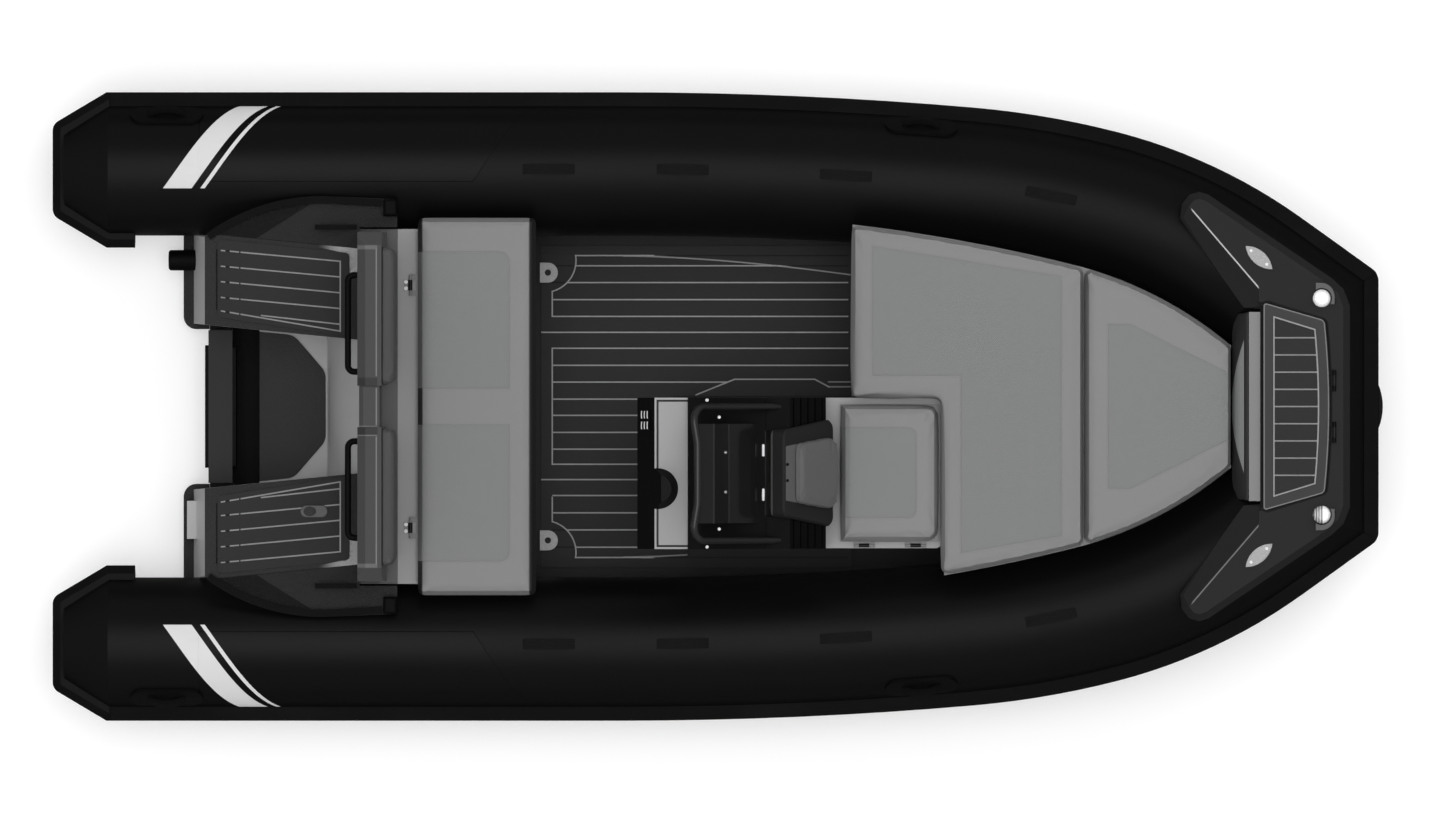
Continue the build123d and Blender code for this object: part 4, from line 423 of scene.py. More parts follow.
def platform_paint(grip, colour, value):
    """Dark hip and painted shadow in the hollow outboard of each platform, a pale gelcoat corner by
    the backrest painted lighter against its shade, and a dark aft edge.
    """
    side = abs(grip.y)
    past_edge = side - 0.5516 + (grip.x + 1.2577) * 0.0999
    hip = past_edge.fade(*SHARP)
    colour = grip.mix(hip, colour, grey(value * 0.82))
    colour = grip.mix(past_edge.line(0.001, 0.0026) * 0.7, colour, grey(10))
    # painted shadow: near black in the hollow past the hip
    hollow = ((side - 0.589) * 0.846 - (grip.x + 1.609) * 0.532).fade(*SHARP)
    colour = grip.mix(hollow * hip, colour, grey(9))
    # pale gelcoat corner, painted lighter to make up for the backrest's shade
    border = rounded(grip.x + 1.2868, side - 0.539 + (grip.x + 1.318) * 0.22, 0.02)
    reach = grip.x.fade(-1.4, -1.31) * side.fade(0.456, 0.458)
    colour = grip.mix(border.fade(*SHARP) * (1 - hip) * reach, colour, grey(160))
    across = side.fade(0.336, 0.338) * side.below(0.548, 0.55)
    edge = (grip.x + 1.7505).line(0.0018, 0.003) * across
    return grip.mix(edge, colour, grey(8))


def tread(name, value, paint=None):
    """Moulded surface with a pressed non-slip grain. The paint adds to its colour."""
    grip = Finish(name, Specular_IOR_Level=0.15)
    pips = grip.cells(230.0)
    cloud = grip.grain(2.5, 4.0)
    colour = grip.mix(cloud, grey(value * 0.92), grey(value * 1.08))
    grip.set(Base_Color=paint(grip, colour, value) if paint else colour)
    grip.set(Roughness=0.5 + cloud * 0.12)
    grip.relief(1 - pips * 2.2, 0.0008)
    return grip.material


def foam(name, value, marks=None, mark_value=0):
    """Brushed closed-cell decking foam.

    The marks give the share of another colour at each place.
    """
    sheet = Finish(name, Specular_IOR_Level=0.2)
    brushed = sheet.grain(330.0, 3.0, (0.12, 1.0, 1.0))
    cloud = sheet.grain(3.5, 4.0)
    colour = sheet.mix(cloud * 0.6 + brushed * 0.4, grey(value * 0.88), grey(value * 1.12))
    height = brushed + sheet.grain(900) * 0.4
    if marks:
        share = marks(sheet)
        colour = sheet.mix(share, colour, grey(mark_value))
        height = height - share
    sheet.set(Base_Color=colour)
    sheet.set(Roughness=0.78 + cloud * 0.14)
    sheet.relief(height, 0.0006)
    return sheet.material


def past_outline(sheet):
    """Distance outboard of the curved line along each side of the cockpit mat."""
    return abs(sheet.y) - 0.5295 + (sheet.x + 0.33).most(0.0) ** 1.65 * 0.0965


def outline_groove(sheet):
    """Grooves that follow the curve and run on past the console."""
    by_console = sheet.y.below(*SIDES) * sheet.x.fade(-0.108, -0.107)
    curve = past_outline(sheet).line(*GROOVE) * sheet.x.fade(-0.34, -0.33) * (1 - by_console)
    beside = (abs(sheet.y - 0.078) - 0.0085).line(*GROOVE) * sheet.x.fade(0.386, 0.388)
    return curve.most(beside) * sheet.z.below(*MAT_LEVEL)


def filled_groove(sheet):
    """Dark where grooves are filled: past the curve, round the tie-down plates, on platforms."""
    on_floor = sheet.z.below(*MAT_LEVEL)
    outboard = past_outline(sheet).fade(0.003, 0.004) * sheet.x.fade(-0.23, -0.22)
    plate = ((sheet.x + 0.6115) ** 2 + (abs(sheet.y) - 0.5132) ** 2) ** 0.5
    bridge = (abs(sheet.x + 1.7125) - 0.0075).least(abs(sheet.x + 1.6695) - 0.0025)
    bridge = bridge.below(-0.0004, 0.0004) * (1 - on_floor)
    return outboard.most(plate.below(0.1088, 0.1094)) * on_floor + bridge


def black_plastic():
    """Moulded plastic with a fine pressed grain."""
    plastic = Finish("black_plastic", Specular_IOR_Level=0.06)
    cloud = plastic.grain(6.0, 3.0)
    plastic.set(Base_Color=plastic.mix(cloud, grey(5), grey(9)))
    plastic.set(Roughness=0.36 + cloud * 0.16)
    plastic.relief(1 - plastic.cells(520.0) * 1.5, 0.0004)
    return plastic.material


def switch_finish():
    """Black gauge cowl and switch panel, with painted highlights on the rockers."""
    panel_middle, panel_half, column, row = -0.047, (0.04, 0.042), 0.037, 0.013
    plastic = Finish("switch_finish", Specular_IOR_Level=0.06)
    cloud = plastic.grain(6.0, 3.0)
    along, lift = tilted(plastic.x, plastic.z, DASH_TOP, DASH_SLOPE)
    across = plastic.y - panel_middle
    bend = (abs(across % column - column / 2) / (column / 2)) ** 2
    # painted highlight: pale crescents across the rocker tops
    crescent_highlight = ((along + 0.0195) % row - 0.004 - bend * 0.003).line(0.0016, 0.003)
    rocker = lift.fade(0.0045, 0.0055) * across.line(*panel_half)
    black = plastic.mix(cloud, grey(6), grey(11))
    plastic.set(Base_Color=plastic.mix(rocker * crescent_highlight, black, grey(205)))
    plastic.set(Roughness=0.24 + cloud * 0.12 + rocker * 0.2)
    plastic.relief(1 - plastic.cells(520.0) * 1.5, 0.0002)
    return plastic.material


def hinge_finish():
    """Painted leaves on the bench, black knuckles everywhere."""
    steel = Finish("hinge_finish", Specular_IOR_Level=0.2)
    haze = steel.grain(40.0, 3.0)
    leaf = steel.x.below(-1.084, -1.082) * steel.z.below(0.437, 0.439)
    black = steel.mix(haze, grey(8), grey(14))
    paint = steel.mix(haze, grey(126), grey(138))
    steel.set(Base_Color=steel.mix(leaf, black, paint))
    steel.set(Roughness=0.34 + haze * 0.16)
    steel.relief(steel.grain(300.0), 0.0002)
    return steel.material


def smoked_screen():
    """Dark clear sheet with painted highlights along two folds across it."""
    screen = Finish("smoked_screen", Coat_Weight=0.15, Alpha=0.86, Specular_IOR_Level=0.15)
    haze = screen.grain(5.0, 4.0)
    fold_highlight = abs(screen.x + 0.014).least(abs(screen.x - 0.038)).below(0.001, 0.0026)
    smoke = screen.mix(haze, grey(22), grey(30))
    screen.set(Base_Color=screen.mix(fold_highlight * 0.6, smoke, grey(62)))
    screen.set(Roughness=0.12 + haze * 0.08)
    return screen.material


def bright_steel():
    """Polished steel with a little haze."""
    steel = Finish("bright_steel", Metallic=1.0)
    haze = steel.grain(40.0, 3.0)
    steel.set(Base_Color=steel.mix(haze, grey(205), grey(225)))
    steel.set(Roughness=0.12 + haze * 0.16)
    steel.relief(steel.grain(300.0), 0.0002)
    return steel.material


def cast_fitting(name, value, speck, centre=None):
    """Blasted casting. The centre gives the distance from the edge of a darker cap."""
    metal = Finish(name, Specular_IOR_Level=0.25)
    pits = metal.cells(speck)
    cloud = metal.grain(30.0, 3.0)
    colour = metal.mix((pits * 1.6).least(1.0), grey(value * 0.84), grey(value * 1.14))
    if centre:
        cap = centre(metal).below(-0.0008, 0.0008)
        colour = metal.mix(cap, colour, grey(value * 0.45))
    metal.set(Base_Color=colour)
    metal.set(Roughness=0.42 + cloud * 0.16)
    metal.relief(pits, 0.0005)
    return metal.material


def filler_cap(metal):
    """Oval cap on the filler plate."""
    along = (metal.x + 1.425) / 1.35
    across = metal.y + 0.366
    return (along * along + across * across) ** 0.5 - 0.0165


def lamp_lens():
    """White ribbed lens. The aft half of the starboard lamp is banded."""
    rib, band = 1500, 700
    lens = Finish("lamp_lens", Coat_Weight=0.5)
    ribs = (lens.z * rib).wave()
    cloud = lens.grain(20.0)
    white = lens.mix(cloud, grey(236), grey(250))
    shade = lens.y.below(*SIDES) * lens.x.below(2.1025, 2.1035)
    bands = lens.mix((lens.x * band).wave() * 0.5 + 0.5, grey(84), grey(196))
    lens.set(Base_Color=lens.mix(shade, white, bands))
    lens.set(Roughness=0.16 + cloud * 0.1)
    lens.relief(ribs, 0.0006)
    return lens.material


finishes = {
    "tube_skin": tube_skin(),
    "cone_skin": cone_skin(),
    "strake_rubber": strake_rubber(),
    "webbing": webbing_weave(),
    "hull_plate": hull_plate(),
    "transom_paint": painted("transom_paint", 40, 0.42, 300.0),
    "deck_paint": painted("deck_paint", 38, 0.55, 160.0),
    "rail_paint": painted("rail_paint", 24, 0.2, 420.0, 0.4),
    "black_plastic": black_plastic(),
    # The ledge, motor well and console gelcoats below are the same light moulding as light_gelcoat,
    # painted lighter to make up for the shade they lie in.
    "light_gelcoat": gelcoat("light_gelcoat", 124, 0.3, 0.06),
    "well_gelcoat_lightened": gelcoat("well_gelcoat_lightened", 156, 0.3, 0.06, 0.12, well_edge),
    "module_gelcoat": gelcoat("module_gelcoat", 178, 0.3, 0.06),
    "ledge_gelcoat_lightened": gelcoat("ledge_gelcoat_lightened", 152, 0.3, 0.06, 0.12, ledge_strip),
    "shroud_gelcoat": gelcoat("shroud_gelcoat", 88, 0.35, 0.05),
    "console_gelcoat_lightened": gelcoat("console_gelcoat_lightened", 154, 0.3, 0.06, 0.12, console_rim),
    "back_gelcoat": gelcoat("back_gelcoat", 34, 0.4, 0.02, 0.08, back_edge),
    "bench_back_gelcoat": gelcoat("bench_back_gelcoat", 68, 0.4, 0.03, 0.08, bench_back_edge),
    # 185 is the colour of the painted crease highlight on the bow deck
    "bow_gelcoat": gelcoat("bow_gelcoat", 32, 0.4, 0.02, 0.08, deck_crease, 185),
    "lid_gelcoat": gelcoat("lid_gelcoat", 61, 0.45, 0.02, 0.06, lid_rim),
    "dark_tread": tread("dark_tread", 43, platform_paint),
    "well_tread": tread("well_tread", 48),
    "pale_foam": foam("pale_foam", 154),
    "dark_foam": foam("dark_foam", 46),
    "mat_foam": foam("mat_foam", 154, filled_groove, 34),
    "plank_foam": foam("plank_foam", 45, outline_groove, 132),
    "smoked_screen": smoked_screen(),
    "bright_steel": bright_steel(),
    "cleat_casting": cast_fitting("cleat_casting", 152, 420.0),
    "plate_casting": cast_fitting("plate_casting", 152, 520.0),
    "filler_casting": cast_fitting("filler_casting", 76, 380.0, filler_cap),
    "lamp_lens": lamp_lens(),
    "switch_finish": switch_finish(),
    "hinge_finish": hinge_finish(),
}
node_finish = {
    "tube_skin": ("tube_port", "tube_starboard", "tube_bow"),
    "cone_skin": ("stern_cones",),
    "strake_rubber": ("rub_strakes", "carry_handles"),
    "webbing": ("grab_straps",),
    "hull_plate": ("hull",),
    "transom_paint": ("transom",),
    "deck_paint": ("deck_floor",),
    "rail_paint": ("console_rail",),
    "black_plastic": (
        "transom_pads", "well_trough", "backrest_grabs", "console_dash", "steering_column",
        "steering_wheel", "back_brackets", "stern_cleats", "platform_lips", "drain_trunk",
    ),
    "light_gelcoat": ("bench_lid", "seat_lid", "bow_locker", "bow_back_panel"),
    "well_gelcoat_lightened": ("motor_well",),
    "module_gelcoat": ("stern_modules",),
    "ledge_gelcoat_lightened": ("bench_box",),
    "shroud_gelcoat": ("lamp_shrouds",),
    "console_gelcoat_lightened": ("console_body",),
    "back_gelcoat": ("seat_back",),
    "bench_back_gelcoat": ("backrest_frame",),
    "bow_gelcoat": ("bow_deck",),
    "lid_gelcoat": ("anchor_lid",),
    "dark_tread": ("boarding_platforms", "stern_steps"),
    "well_tread": ("well_floor",),
    "pale_foam": ("anchor_mat_sheet",),
    "dark_foam": ("anchor_mat_planks",),
    "mat_foam": ("mat_sheets",),
    "plank_foam": ("mat_planks",),
    "smoked_screen": ("windscreen",),
    "bright_steel": ("towing_eyes",),
    "hinge_finish": ("lid_hinges",),
    "switch_finish": ("dash_fittings",),
    "cleat_casting": ("bow_cleats",),
    "plate_casting": ("floor_brackets",),
    "filler_casting": ("fuel_filler",),
    "lamp_lens": ("nav_lights",),
}


def dress(piece, material):
    """Give a piece one finish."""
    piece.data.materials.clear()
    piece.data.materials.append(material)


for finish, names in node_finish.items():
    for name in names:
        dress(nodes[name], finishes[finish])


# Vinyl covers: pressed leather grain, with sewn inserts of a dimpled grey-green cloth
def vinyl(name, value, insert=None, boxing=None, insert_value=None):
    """Cover of a cushion.

    The insert gives the distance from the edge of its sewn panels in plan. The boxing gives that
    from the edge of its top, past which the sides are black.
    """
    stitch_inset, stitch_length, stitch_gap, dimple = 0.006, 0.007, 0.0022, 0.0085
    cover = Finish(name, Specular_IOR_Level=0.16)
    hide = cover.cells(340.0, "DISTANCE_TO_EDGE")
    cloud = cover.grain(2.6, 4.0)
    colour = cover.mix(cloud, grey(value * 0.98), grey(value * 1.02))
    rough = 0.5 + cloud * 0.1
    height = hide.least(0.22) * 1.6 + cloud * 0.3
    if boxing:
        rim = boxing(cover)
        colour = cover.mix(rim.fade(*SHARP), colour, cover.mix(cloud, grey(34), grey(42)))
        height = height - rim.line(0.0005, 0.003) * 2.4
    if insert:
        edge = insert(cover)
        inside = edge.below(-0.0015, 0.0)
        pitch = 2 * math.pi / dimple
        dimples = (cover.x * pitch).wave() * (cover.y * pitch).wave()
        cloth_value = insert_value or value * 0.965
        low_cloth, high_cloth = grey(cloth_value * 0.97, 0.03), grey(cloth_value * 1.03, 0.03)
        cloth = cover.mix(dimples * 0.5 + 0.5, low_cloth, high_cloth)
        colour = cover.mix(inside, colour, cloth)
        seam = edge.line(0.0006, 0.0026)
        stitch_line = (abs(edge) - stitch_inset).line(0.0006, 0.0014)
        stitch = stitch_line * ((cover.x + cover.y) % stitch_length > stitch_gap)
        colour = cover.mix(seam * 0.2, colour, grey(value * 0.7))
        colour = cover.mix(stitch * 0.16, colour, grey(value * 0.85))
        rough = rough + inside * 0.2
        height = height * (1 - inside * 0.8) + dimples * inside * 0.5
        height = height - seam * 1.4 + stitch * 0.4
    cover.set(Base_Color=colour)
    cover.set(Roughness=rough)
    cover.relief(height, 0.0006)
    return cover.material


def bench_insert(cover):
    """Two rounded panels, one on each side of the middle."""
    return cover.panel((-0.914, 0.0), (0.186, 0.54), 0.036).most(0.063 - abs(cover.y))


def bench_boxing(cover):
    """Black sides along the front and the back."""
    return (-1.0325 - cover.x).most(cover.x + 0.6585)


def seat_insert(cover):
    """One rounded panel."""
    return cover.panel((0.52, -0.231), (0.171, 0.157), 0.03)


def bow_aft_insert(cover):
    """Panel that turns the corner beside the console's seat."""
    fore_edge = cover.x - 1.197
    port_edge = (cover.y - 0.555 + (cover.x - 0.56) * 0.16) * 0.987
    starboard_edge = (-0.51 - cover.y + (cover.x - 0.847) * 0.17) * 0.986
    port_part = (0.538 - cover.x).most(fore_edge).most(0.108 - cover.y).most(port_edge)
    cross_part = (0.847 - cover.x).most(fore_edge).most(starboard_edge).most(port_edge)
    return port_part.least(cross_part)


def bow_fore_insert(cover):
    """Panel that narrows towards the bow."""
    taper = (abs(cover.y) - 0.3 + (cover.x - 1.41) * 0.5) * 0.894
    return (1.36 - cover.x).most(taper).most(abs(cover.y) - 0.286)


def bow_back_insert(cover):
    """Lens-shaped panel on the sloping side of the bow backrest."""
    curve = 1.792 + cover.y * cover.y * 0.72
    return (curve - cover.x).most(cover.x - 1.832)


def inflate(pad, held, swell):
    """Swell a pad by cloth under pressure, up to swell. The held points stay."""
    pressure, last_step = 4.0, 20
    drawn = [point.co.copy() for point in pad.data.vertices]
    stuffing = pad.modifiers.new("stuffing", "CLOTH")
    stuffing.settings.quality = 3
    stuffing.settings.use_pressure = True
    stuffing.settings.uniform_pressure_force = pressure
    stuffing.settings.effector_weights.gravity = 0.0
    stuffing.settings.vertex_group_mass = held.name
    stuffing.collision_settings.use_collision = False
    stuffing.point_cache.frame_start = 1
    stuffing.point_cache.frame_end = last_step
    for step in range(1, last_step + 1):
        scene.frame_set(step)
    bpy.ops.object.modifier_apply(modifier="stuffing")
    scene.frame_set(1)
    for point, start in zip(pad.data.vertices, drawn):
        move = point.co - start
        if move.length > swell:
            point.co = start + move * (swell / move.length)


def soften(name, node, body, finish, slot, grid, sink, swell, rests, fill=0.8):
    """Stuffed copy of a soft solid: remeshed, drawn in, and swollen by a cloth simulation.

    The points for which rests is true lie on what carries the pad and stay flat.
    """
    solid = nodes[node]
    pad = solid.copy()
    pad.data = solid.data.copy()
    for key in list(pad.keys()):
        del pad[key]
    pad.parent = None
    pad.name = name
    scene.collection.objects.link(pad)
    bpy.ops.object.select_all(action="DESELECT")
    pad.select_set(True)
    bpy.context.view_layer.objects.active = pad
    bpy.ops.object.mode_set(mode="EDIT")
    bpy.ops.mesh.select_all(action="SELECT")
    bpy.ops.mesh.remove_doubles(threshold=0.0001)
    bpy.ops.object.mode_set(mode="OBJECT")
    pad.data.remesh_voxel_size = grid
    bpy.ops.object.voxel_remesh()
    held = pad.vertex_groups.new(name="held")
    low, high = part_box(node)
    for point in pad.data.vertices:
        if rests(point.co, low, high):
            held.add([point.index], 1.0, "REPLACE")
        else:
            point.co -= point.normal * sink
    inflate(pad, held, swell)
    smoother = pad.modifiers.new("rounding", "SUBSURF")
    smoother.levels = 1
    smoother.render_levels = 1
    bpy.ops.object.modifier_apply(modifier="rounding")
    bpy.ops.object.shade_smooth()
    dress(pad, finish)
    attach(pad, body)
    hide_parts(node)


def lies_flat(spot, low, high):
    """Underside of a seat cushion."""
    return spot.z < low.z + 0.012


def lies_on_back(spot, low, high):
    """Side of the pad that lies on the console's seat back."""
    return tilted(spot.x, spot.z, SEAT_BACK_FOOT, SEAT_BACK_OUT)[0] < 0.008


def stands_on_panel(spot, low, high):
    """Foot and fore side of the bow backrest."""
    return spot.x > high.x - 0.01 or spot.z < low.z + 0.012


def leans_back(spot, low, high):
    """Aft side of the bench's back pads, which leans."""
    share = (spot.z - low.z) / (high.z - low.z)
    return spot.x < low.x + 0.006 + 0.0116 * (1 - share)


# Piece, node, body, cover, slot, grid, sink, swell and what rests on its carrier
soft_pieces = (
    (
        "bench_seat_cushion", "bench_cushion", "bench_lid",
        vinyl("bench_cover", 130, bench_insert, bench_boxing),
        "seat_vinyl", 0.016, 0.006, 0.009, lies_flat,
    ),
    (
        "console_seat_cushion", "seat_cushion", "seat_lid",
        vinyl("seat_cover", 130, seat_insert),
        "seat_vinyl", 0.012, 0.006, 0.009, lies_flat,
    ),
    (
        "bow_seat_cushion_aft", "bow_cushion_aft", "boat",
        vinyl("bow_aft_cover", 130, bow_aft_insert),
        "seat_vinyl", 0.018, 0.006, 0.009, lies_flat,
    ),
    (
        "bow_seat_cushion_fore", "bow_cushion_fore", "boat",
        vinyl("bow_fore_cover", 130, bow_fore_insert),
        "seat_vinyl", 0.016, 0.006, 0.009, lies_flat,
    ),
    (
        "bench_back_pads", "backrest_pads", "boat",
        vinyl("back_pad_cover", 78),
        "pad_vinyl", 0.011, 0.005, 0.01, leans_back,
    ),
    (
        "console_back_pad", "seat_back_pad", "boat",
        vinyl("seat_back_cover", 94),
        "pad_vinyl", 0.008, 0.004, 0.008, lies_on_back,
    ),
    (
        "bow_back_cushion", "bow_backrest", "boat",
        vinyl("bow_back_cover", 48, bow_back_insert, None, 146),
        "pad_vinyl", 0.012, 0.005, 0.009, stands_on_panel,
    ),
)
for soft_piece in soft_pieces:
    soften(*soft_piece)


# Small fittings, each shaped once and copied to its places, with the directions they face
UP = Vector((0.0, 0.0, 1.0))
HOOD_UP = Vector((0.2384, 0.0, 0.9712))
SCREEN_OUT = Vector((0.766, 0.0, 0.643))
DECK_UP = Vector((-0.1357, 0.0, 0.9907))
SAME = 1e-6  # closer than this, two places are one


def begin():
    """Nothing selected, ready for a new piece."""
    if bpy.context.object and bpy.context.object.mode != "OBJECT":
        bpy.ops.object.mode_set(mode="OBJECT")
    bpy.ops.object.select_all(action="DESELECT")


def pick(piece, wanted, kind="FACE"):
    """Select the faces or edges of a piece in edit mode for which wanted is true."""
    bpy.ops.object.mode_set(mode="EDIT")
    bpy.ops.mesh.select_mode(type=kind)
    bpy.ops.mesh.select_all(action="DESELECT")
    bpy.ops.object.mode_set(mode="OBJECT")
    if kind == "FACE":
        for face in piece.data.polygons:
            face.select = wanted(face.center, face.normal)
    else:
        points = piece.data.vertices
        for edge in piece.data.edges:
            ends = [points[index].co for index in edge.vertices]
            edge.select = wanted(*ends)
    bpy.ops.object.mode_set(mode="EDIT")


def at_places(pattern, name, places, body, finish):
    """Move a pattern's copies to places with facing directions and join them into one piece."""
    copies = []
    for place, facing in places:
        copy = pattern.copy()
        copy.data = pattern.data.copy()
        scene.collection.objects.link(copy)
        aim = UP.rotation_difference(facing).to_matrix().to_4x4()
        copy.data.transform(Matrix.Translation(place) @ aim)
        copies.append(copy)
    begin()
    for copy in copies:
        copy.select_set(True)
    bpy.context.view_layer.objects.active = copies[0]
    bpy.ops.object.join()
    piece = bpy.context.object
    piece.name = name
    bpy.ops.object.shade_smooth_by_angle(angle=math.radians(35))
    dress(piece, finish)
    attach(piece, body)
    bpy.data.objects.remove(pattern, do_unlink=True)


def screw_head(radius, height, recess):
    """Raised screw head with a bevelled rim and a round socket."""
    begin()
    bpy.ops.mesh.primitive_cylinder_add(
        vertices=24, radius=radius, depth=height, location=(0, 0, height / 2)
    )
    head = bpy.context.object
    bpy.ops.object.transform_apply(location=True, rotation=True, scale=True)
    pick(head, lambda spot, normal: normal.z > 0.9)
    bpy.ops.mesh.inset(thickness=radius * 0.18)
    bpy.ops.transform.translate(value=(0, 0, height * 0.35))
    bpy.ops.mesh.inset(thickness=radius * 0.34)
    bpy.ops.mesh.extrude_region_move(TRANSFORM_OT_translate={"value": (0, 0, -recess)})
    bpy.ops.mesh.inset(thickness=radius * 0.1)
    bpy.ops.object.mode_set(mode="OBJECT")

    def on_rim(one, two):
        level = abs(one.z - height) < 1e-5 and abs(two.z - height) < 1e-5
        return level and one.xy.length > radius * 0.95

    pick(head, on_rim, "EDGE")
    bpy.ops.mesh.bevel(offset=height * 0.3, segments=2, affect="EDGES")
    bpy.ops.object.mode_set(mode="OBJECT")
    return head


def screw_paint():
    """White-capped stainless heads."""
    cap = Finish("screw_cap", Specular_IOR_Level=0.4)
    haze = cap.grain(200.0, 2.0)
    cap.set(Base_Color=cap.mix(haze, grey(222), grey(238)))
    cap.set(Roughness=0.24 + haze * 0.2)
    cap.relief(haze, 0.0002)
    return cap.material


white_cap = screw_paint()

hinge_place, hinge_half, leaf_top = (-1.0905, 0.424), 0.0115, 0.435
at_places(
    screw_head(0.007, 0.0026, 0.0014), "hinge_screws",
    [
        ((hinge_place[0], side * hinge_place[1] + shift, leaf_top), UP)
        for side in (-1, 1)
        for shift in (-hinge_half, hinge_half)
    ],
    "boat", white_cap,
)

at_places(
    screw_head(0.0065, 0.003, 0.0016), "console_screws",
    [
        ((0.0035, -0.037, 0.8535), HOOD_UP),
        ((0.0035, -0.425, 0.8535), HOOD_UP),
        ((-0.0385, 0.022, 0.8637), HOOD_UP),
        ((-0.0385, -0.487, 0.8637), HOOD_UP),
        ((0.0255, -0.159, 0.9795), SCREEN_OUT),
        ((0.0255, -0.296, 0.9795), SCREEN_OUT),
    ],
    "boat", finishes["bright_steel"],
)


def deck_level(x):
    """Height of the sloping bow deck, with a cleat's plate on it."""
    return 0.64 + (x - 1.622) * 0.137 + 0.0081


cleat_place, cleat_turn, cleat_half = (1.883, 0.518), math.radians(41), 0.036
cleat_heads = []
for side in (-1, 1):
    for along in (-cleat_half, cleat_half):
        x = cleat_place[0] + along * math.cos(cleat_turn)
        y = side * (cleat_place[1] - along * math.sin(cleat_turn))
        cleat_heads.append(((x - 0.001, y, deck_level(x)), DECK_UP))
at_places(
    screw_head(0.0055, 0.0022, 0.0012), "bow_cleat_screws", cleat_heads,
    "boat", white_cap,
)


def hood_clip():
    """Bright bar with round ends and a groove along its crown."""
    begin()
    bpy.ops.mesh.primitive_cube_add(size=1.0)
    clip = bpy.context.object
    clip.scale = (0.0085, 0.043, 0.006)
    bpy.ops.object.transform_apply(location=True, rotation=True, scale=True)

    def upright(one, two):
        return abs(one.x - two.x) < SAME and abs(one.y - two.y) < SAME

    pick(clip, upright, "EDGE")
    bpy.ops.mesh.bevel(offset=0.004, segments=4, affect="EDGES")
    bpy.ops.object.mode_set(mode="OBJECT")
    pick(clip, lambda spot, normal: normal.z > 0.9)
    bpy.ops.mesh.inset(thickness=0.0012)
    bpy.ops.transform.translate(value=(0, 0, 0.0012))
    bpy.ops.mesh.inset(thickness=0.0012)
    bpy.ops.mesh.extrude_region_move(TRANSFORM_OT_translate={"value": (0, 0, -0.001)})
    bpy.ops.object.mode_set(mode="OBJECT")
    return clip


at_places(
    hood_clip(), "hood_clips",
    [((0.157, y, 0.8181), HOOD_UP) for y in (-0.152, -0.306)],
    "boat", white_cap,
)


def nose_pad():
    """Rounded rubber pad in the middle of the bow strake."""
    begin()
    bpy.ops.mesh.primitive_cylinder_add(
        vertices=192, radius=0.2023, depth=0.05, location=(2.1215, 0.0, 0.404)
    )
    pad = bpy.context.object
    bpy.ops.object.transform_apply(location=True, rotation=True, scale=True)
    bpy.ops.object.mode_set(mode="EDIT")
    bpy.ops.mesh.select_all(action="SELECT")
    bpy.ops.mesh.bisect(
        plane_co=(2.3095, 0.0, 0.0), plane_no=(1.0, 0.0, 0.0), use_fill=True, clear_inner=True
    )
    bpy.ops.object.mode_set(mode="OBJECT")

    def on_front(one, two):
        return abs(one.z - two.z) < SAME and min(one.x, two.x) < max(one.x, two.x)

    pick(pad, on_front, "EDGE")
    bpy.ops.mesh.bevel(offset=0.004, segments=3, affect="EDGES")
    bpy.ops.object.mode_set(mode="OBJECT")
    return pad


at_places(
    nose_pad(), "bow_nose_pad", [((0.0, 0.0, 0.0), UP)],
    "boat", finishes["strake_rubber"],
)


# Studio: a pale floor at the waterline, a soft dome and two broad lamps
floor_side, floor_grey, floor_glow, floor_in_gloss = 60.0, 0.72, 0.36, 0.1
begin()
bpy.ops.mesh.primitive_plane_add(size=floor_side)
floor = bpy.context.object
floor.name = "floor"
ground = bpy.data.materials.new("floor_white")
ground.use_nodes = True
ground_tree = ground.node_tree
ground_tree.nodes.clear()
matt = ground_tree.nodes.new("ShaderNodeBsdfDiffuse")
matt.inputs["Color"].default_value = (floor_grey, floor_grey, floor_grey, 1.0)
glow = ground_tree.nodes.new("ShaderNodeEmission")
path = ground_tree.nodes.new("ShaderNodeLightPath")
lift = ground_tree.nodes.new("ShaderNodeMath")
lift.operation = "MULTIPLY"
lift.inputs[1].default_value = floor_glow
ground_tree.links.new(path.outputs["Is Camera Ray"], lift.inputs[0])
ground_tree.links.new(lift.outputs[0], glow.inputs["Strength"])
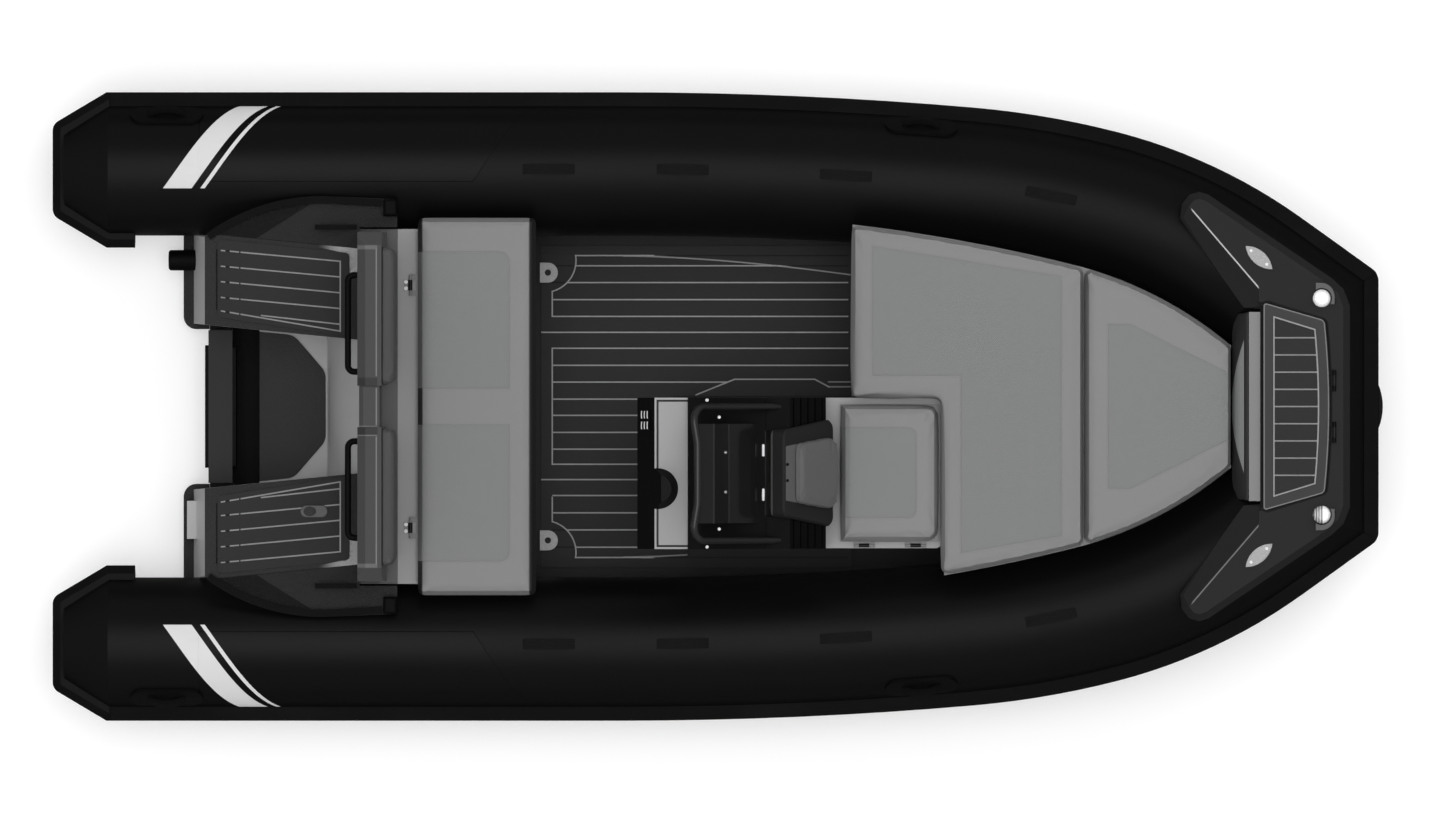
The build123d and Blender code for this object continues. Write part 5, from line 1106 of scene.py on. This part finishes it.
both = ground_tree.nodes.new("ShaderNodeAddShader")
ground_tree.links.new(matt.outputs[0], both.inputs[0])
ground_tree.links.new(glow.outputs[0], both.inputs[1])
dim = ground_tree.nodes.new("ShaderNodeEmission")
dim.inputs["Strength"].default_value = floor_in_gloss
either = ground_tree.nodes.new("ShaderNodeMixShader")
ground_tree.links.new(path.outputs["Is Glossy Ray"], either.inputs[0])
ground_tree.links.new(both.outputs[0], either.inputs[1])
ground_tree.links.new(dim.outputs[0], either.inputs[2])
ground_out = ground_tree.nodes.new("ShaderNodeOutputMaterial")
ground_tree.links.new(either.outputs[0], ground_out.inputs["Surface"])
dress(floor, ground)

dome = bpy.data.worlds.new("studio")
dome.use_nodes = True
scene.world = dome
dome_tree = dome.node_tree
sky = dome_tree.nodes["Background"]
sky.inputs["Color"].default_value = (1.0, 1.0, 1.0, 1.0)
heading = dome_tree.nodes.new("ShaderNodeTexCoord")
height = dome_tree.nodes.new("ShaderNodeSeparateXYZ")
ring = dome_tree.nodes.new("ShaderNodeMapRange")
ring.interpolation_type = "SMOOTHSTEP"
dome_tree.links.new(heading.outputs["Generated"], height.inputs[0])
dome_tree.links.new(height.outputs["Z"], ring.inputs["Value"])
dome_range = {"From Min": 0.86, "From Max": 0.98, "To Min": 0.52, "To Max": 3.4}
for socket, value in dome_range.items():
    ring.inputs[socket].default_value = value
dome_tree.links.new(ring.outputs["Result"], sky.inputs["Strength"])


def soft_lamp(name, place, size, power):
    """A square lamp that looks at the middle of the boat."""
    data = bpy.data.lights.new(name, "AREA")
    data.size = size
    data.energy = power
    lamp = bpy.data.objects.new(name, data)
    lamp.location = place
    aim = Vector((0.0, 0.0, 0.4)) - lamp.location
    lamp.rotation_euler = aim.to_track_quat("-Z", "Y").to_euler()
    lamp.visible_camera = False
    lamp.visible_glossy = False
    scene.collection.objects.link(lamp)


soft_lamp("key", (4.5, 5.5, 6.5), 4.0, 150.0)
soft_lamp("fill", (-5.0, -5.5, 6.0), 4.0, 70.0)
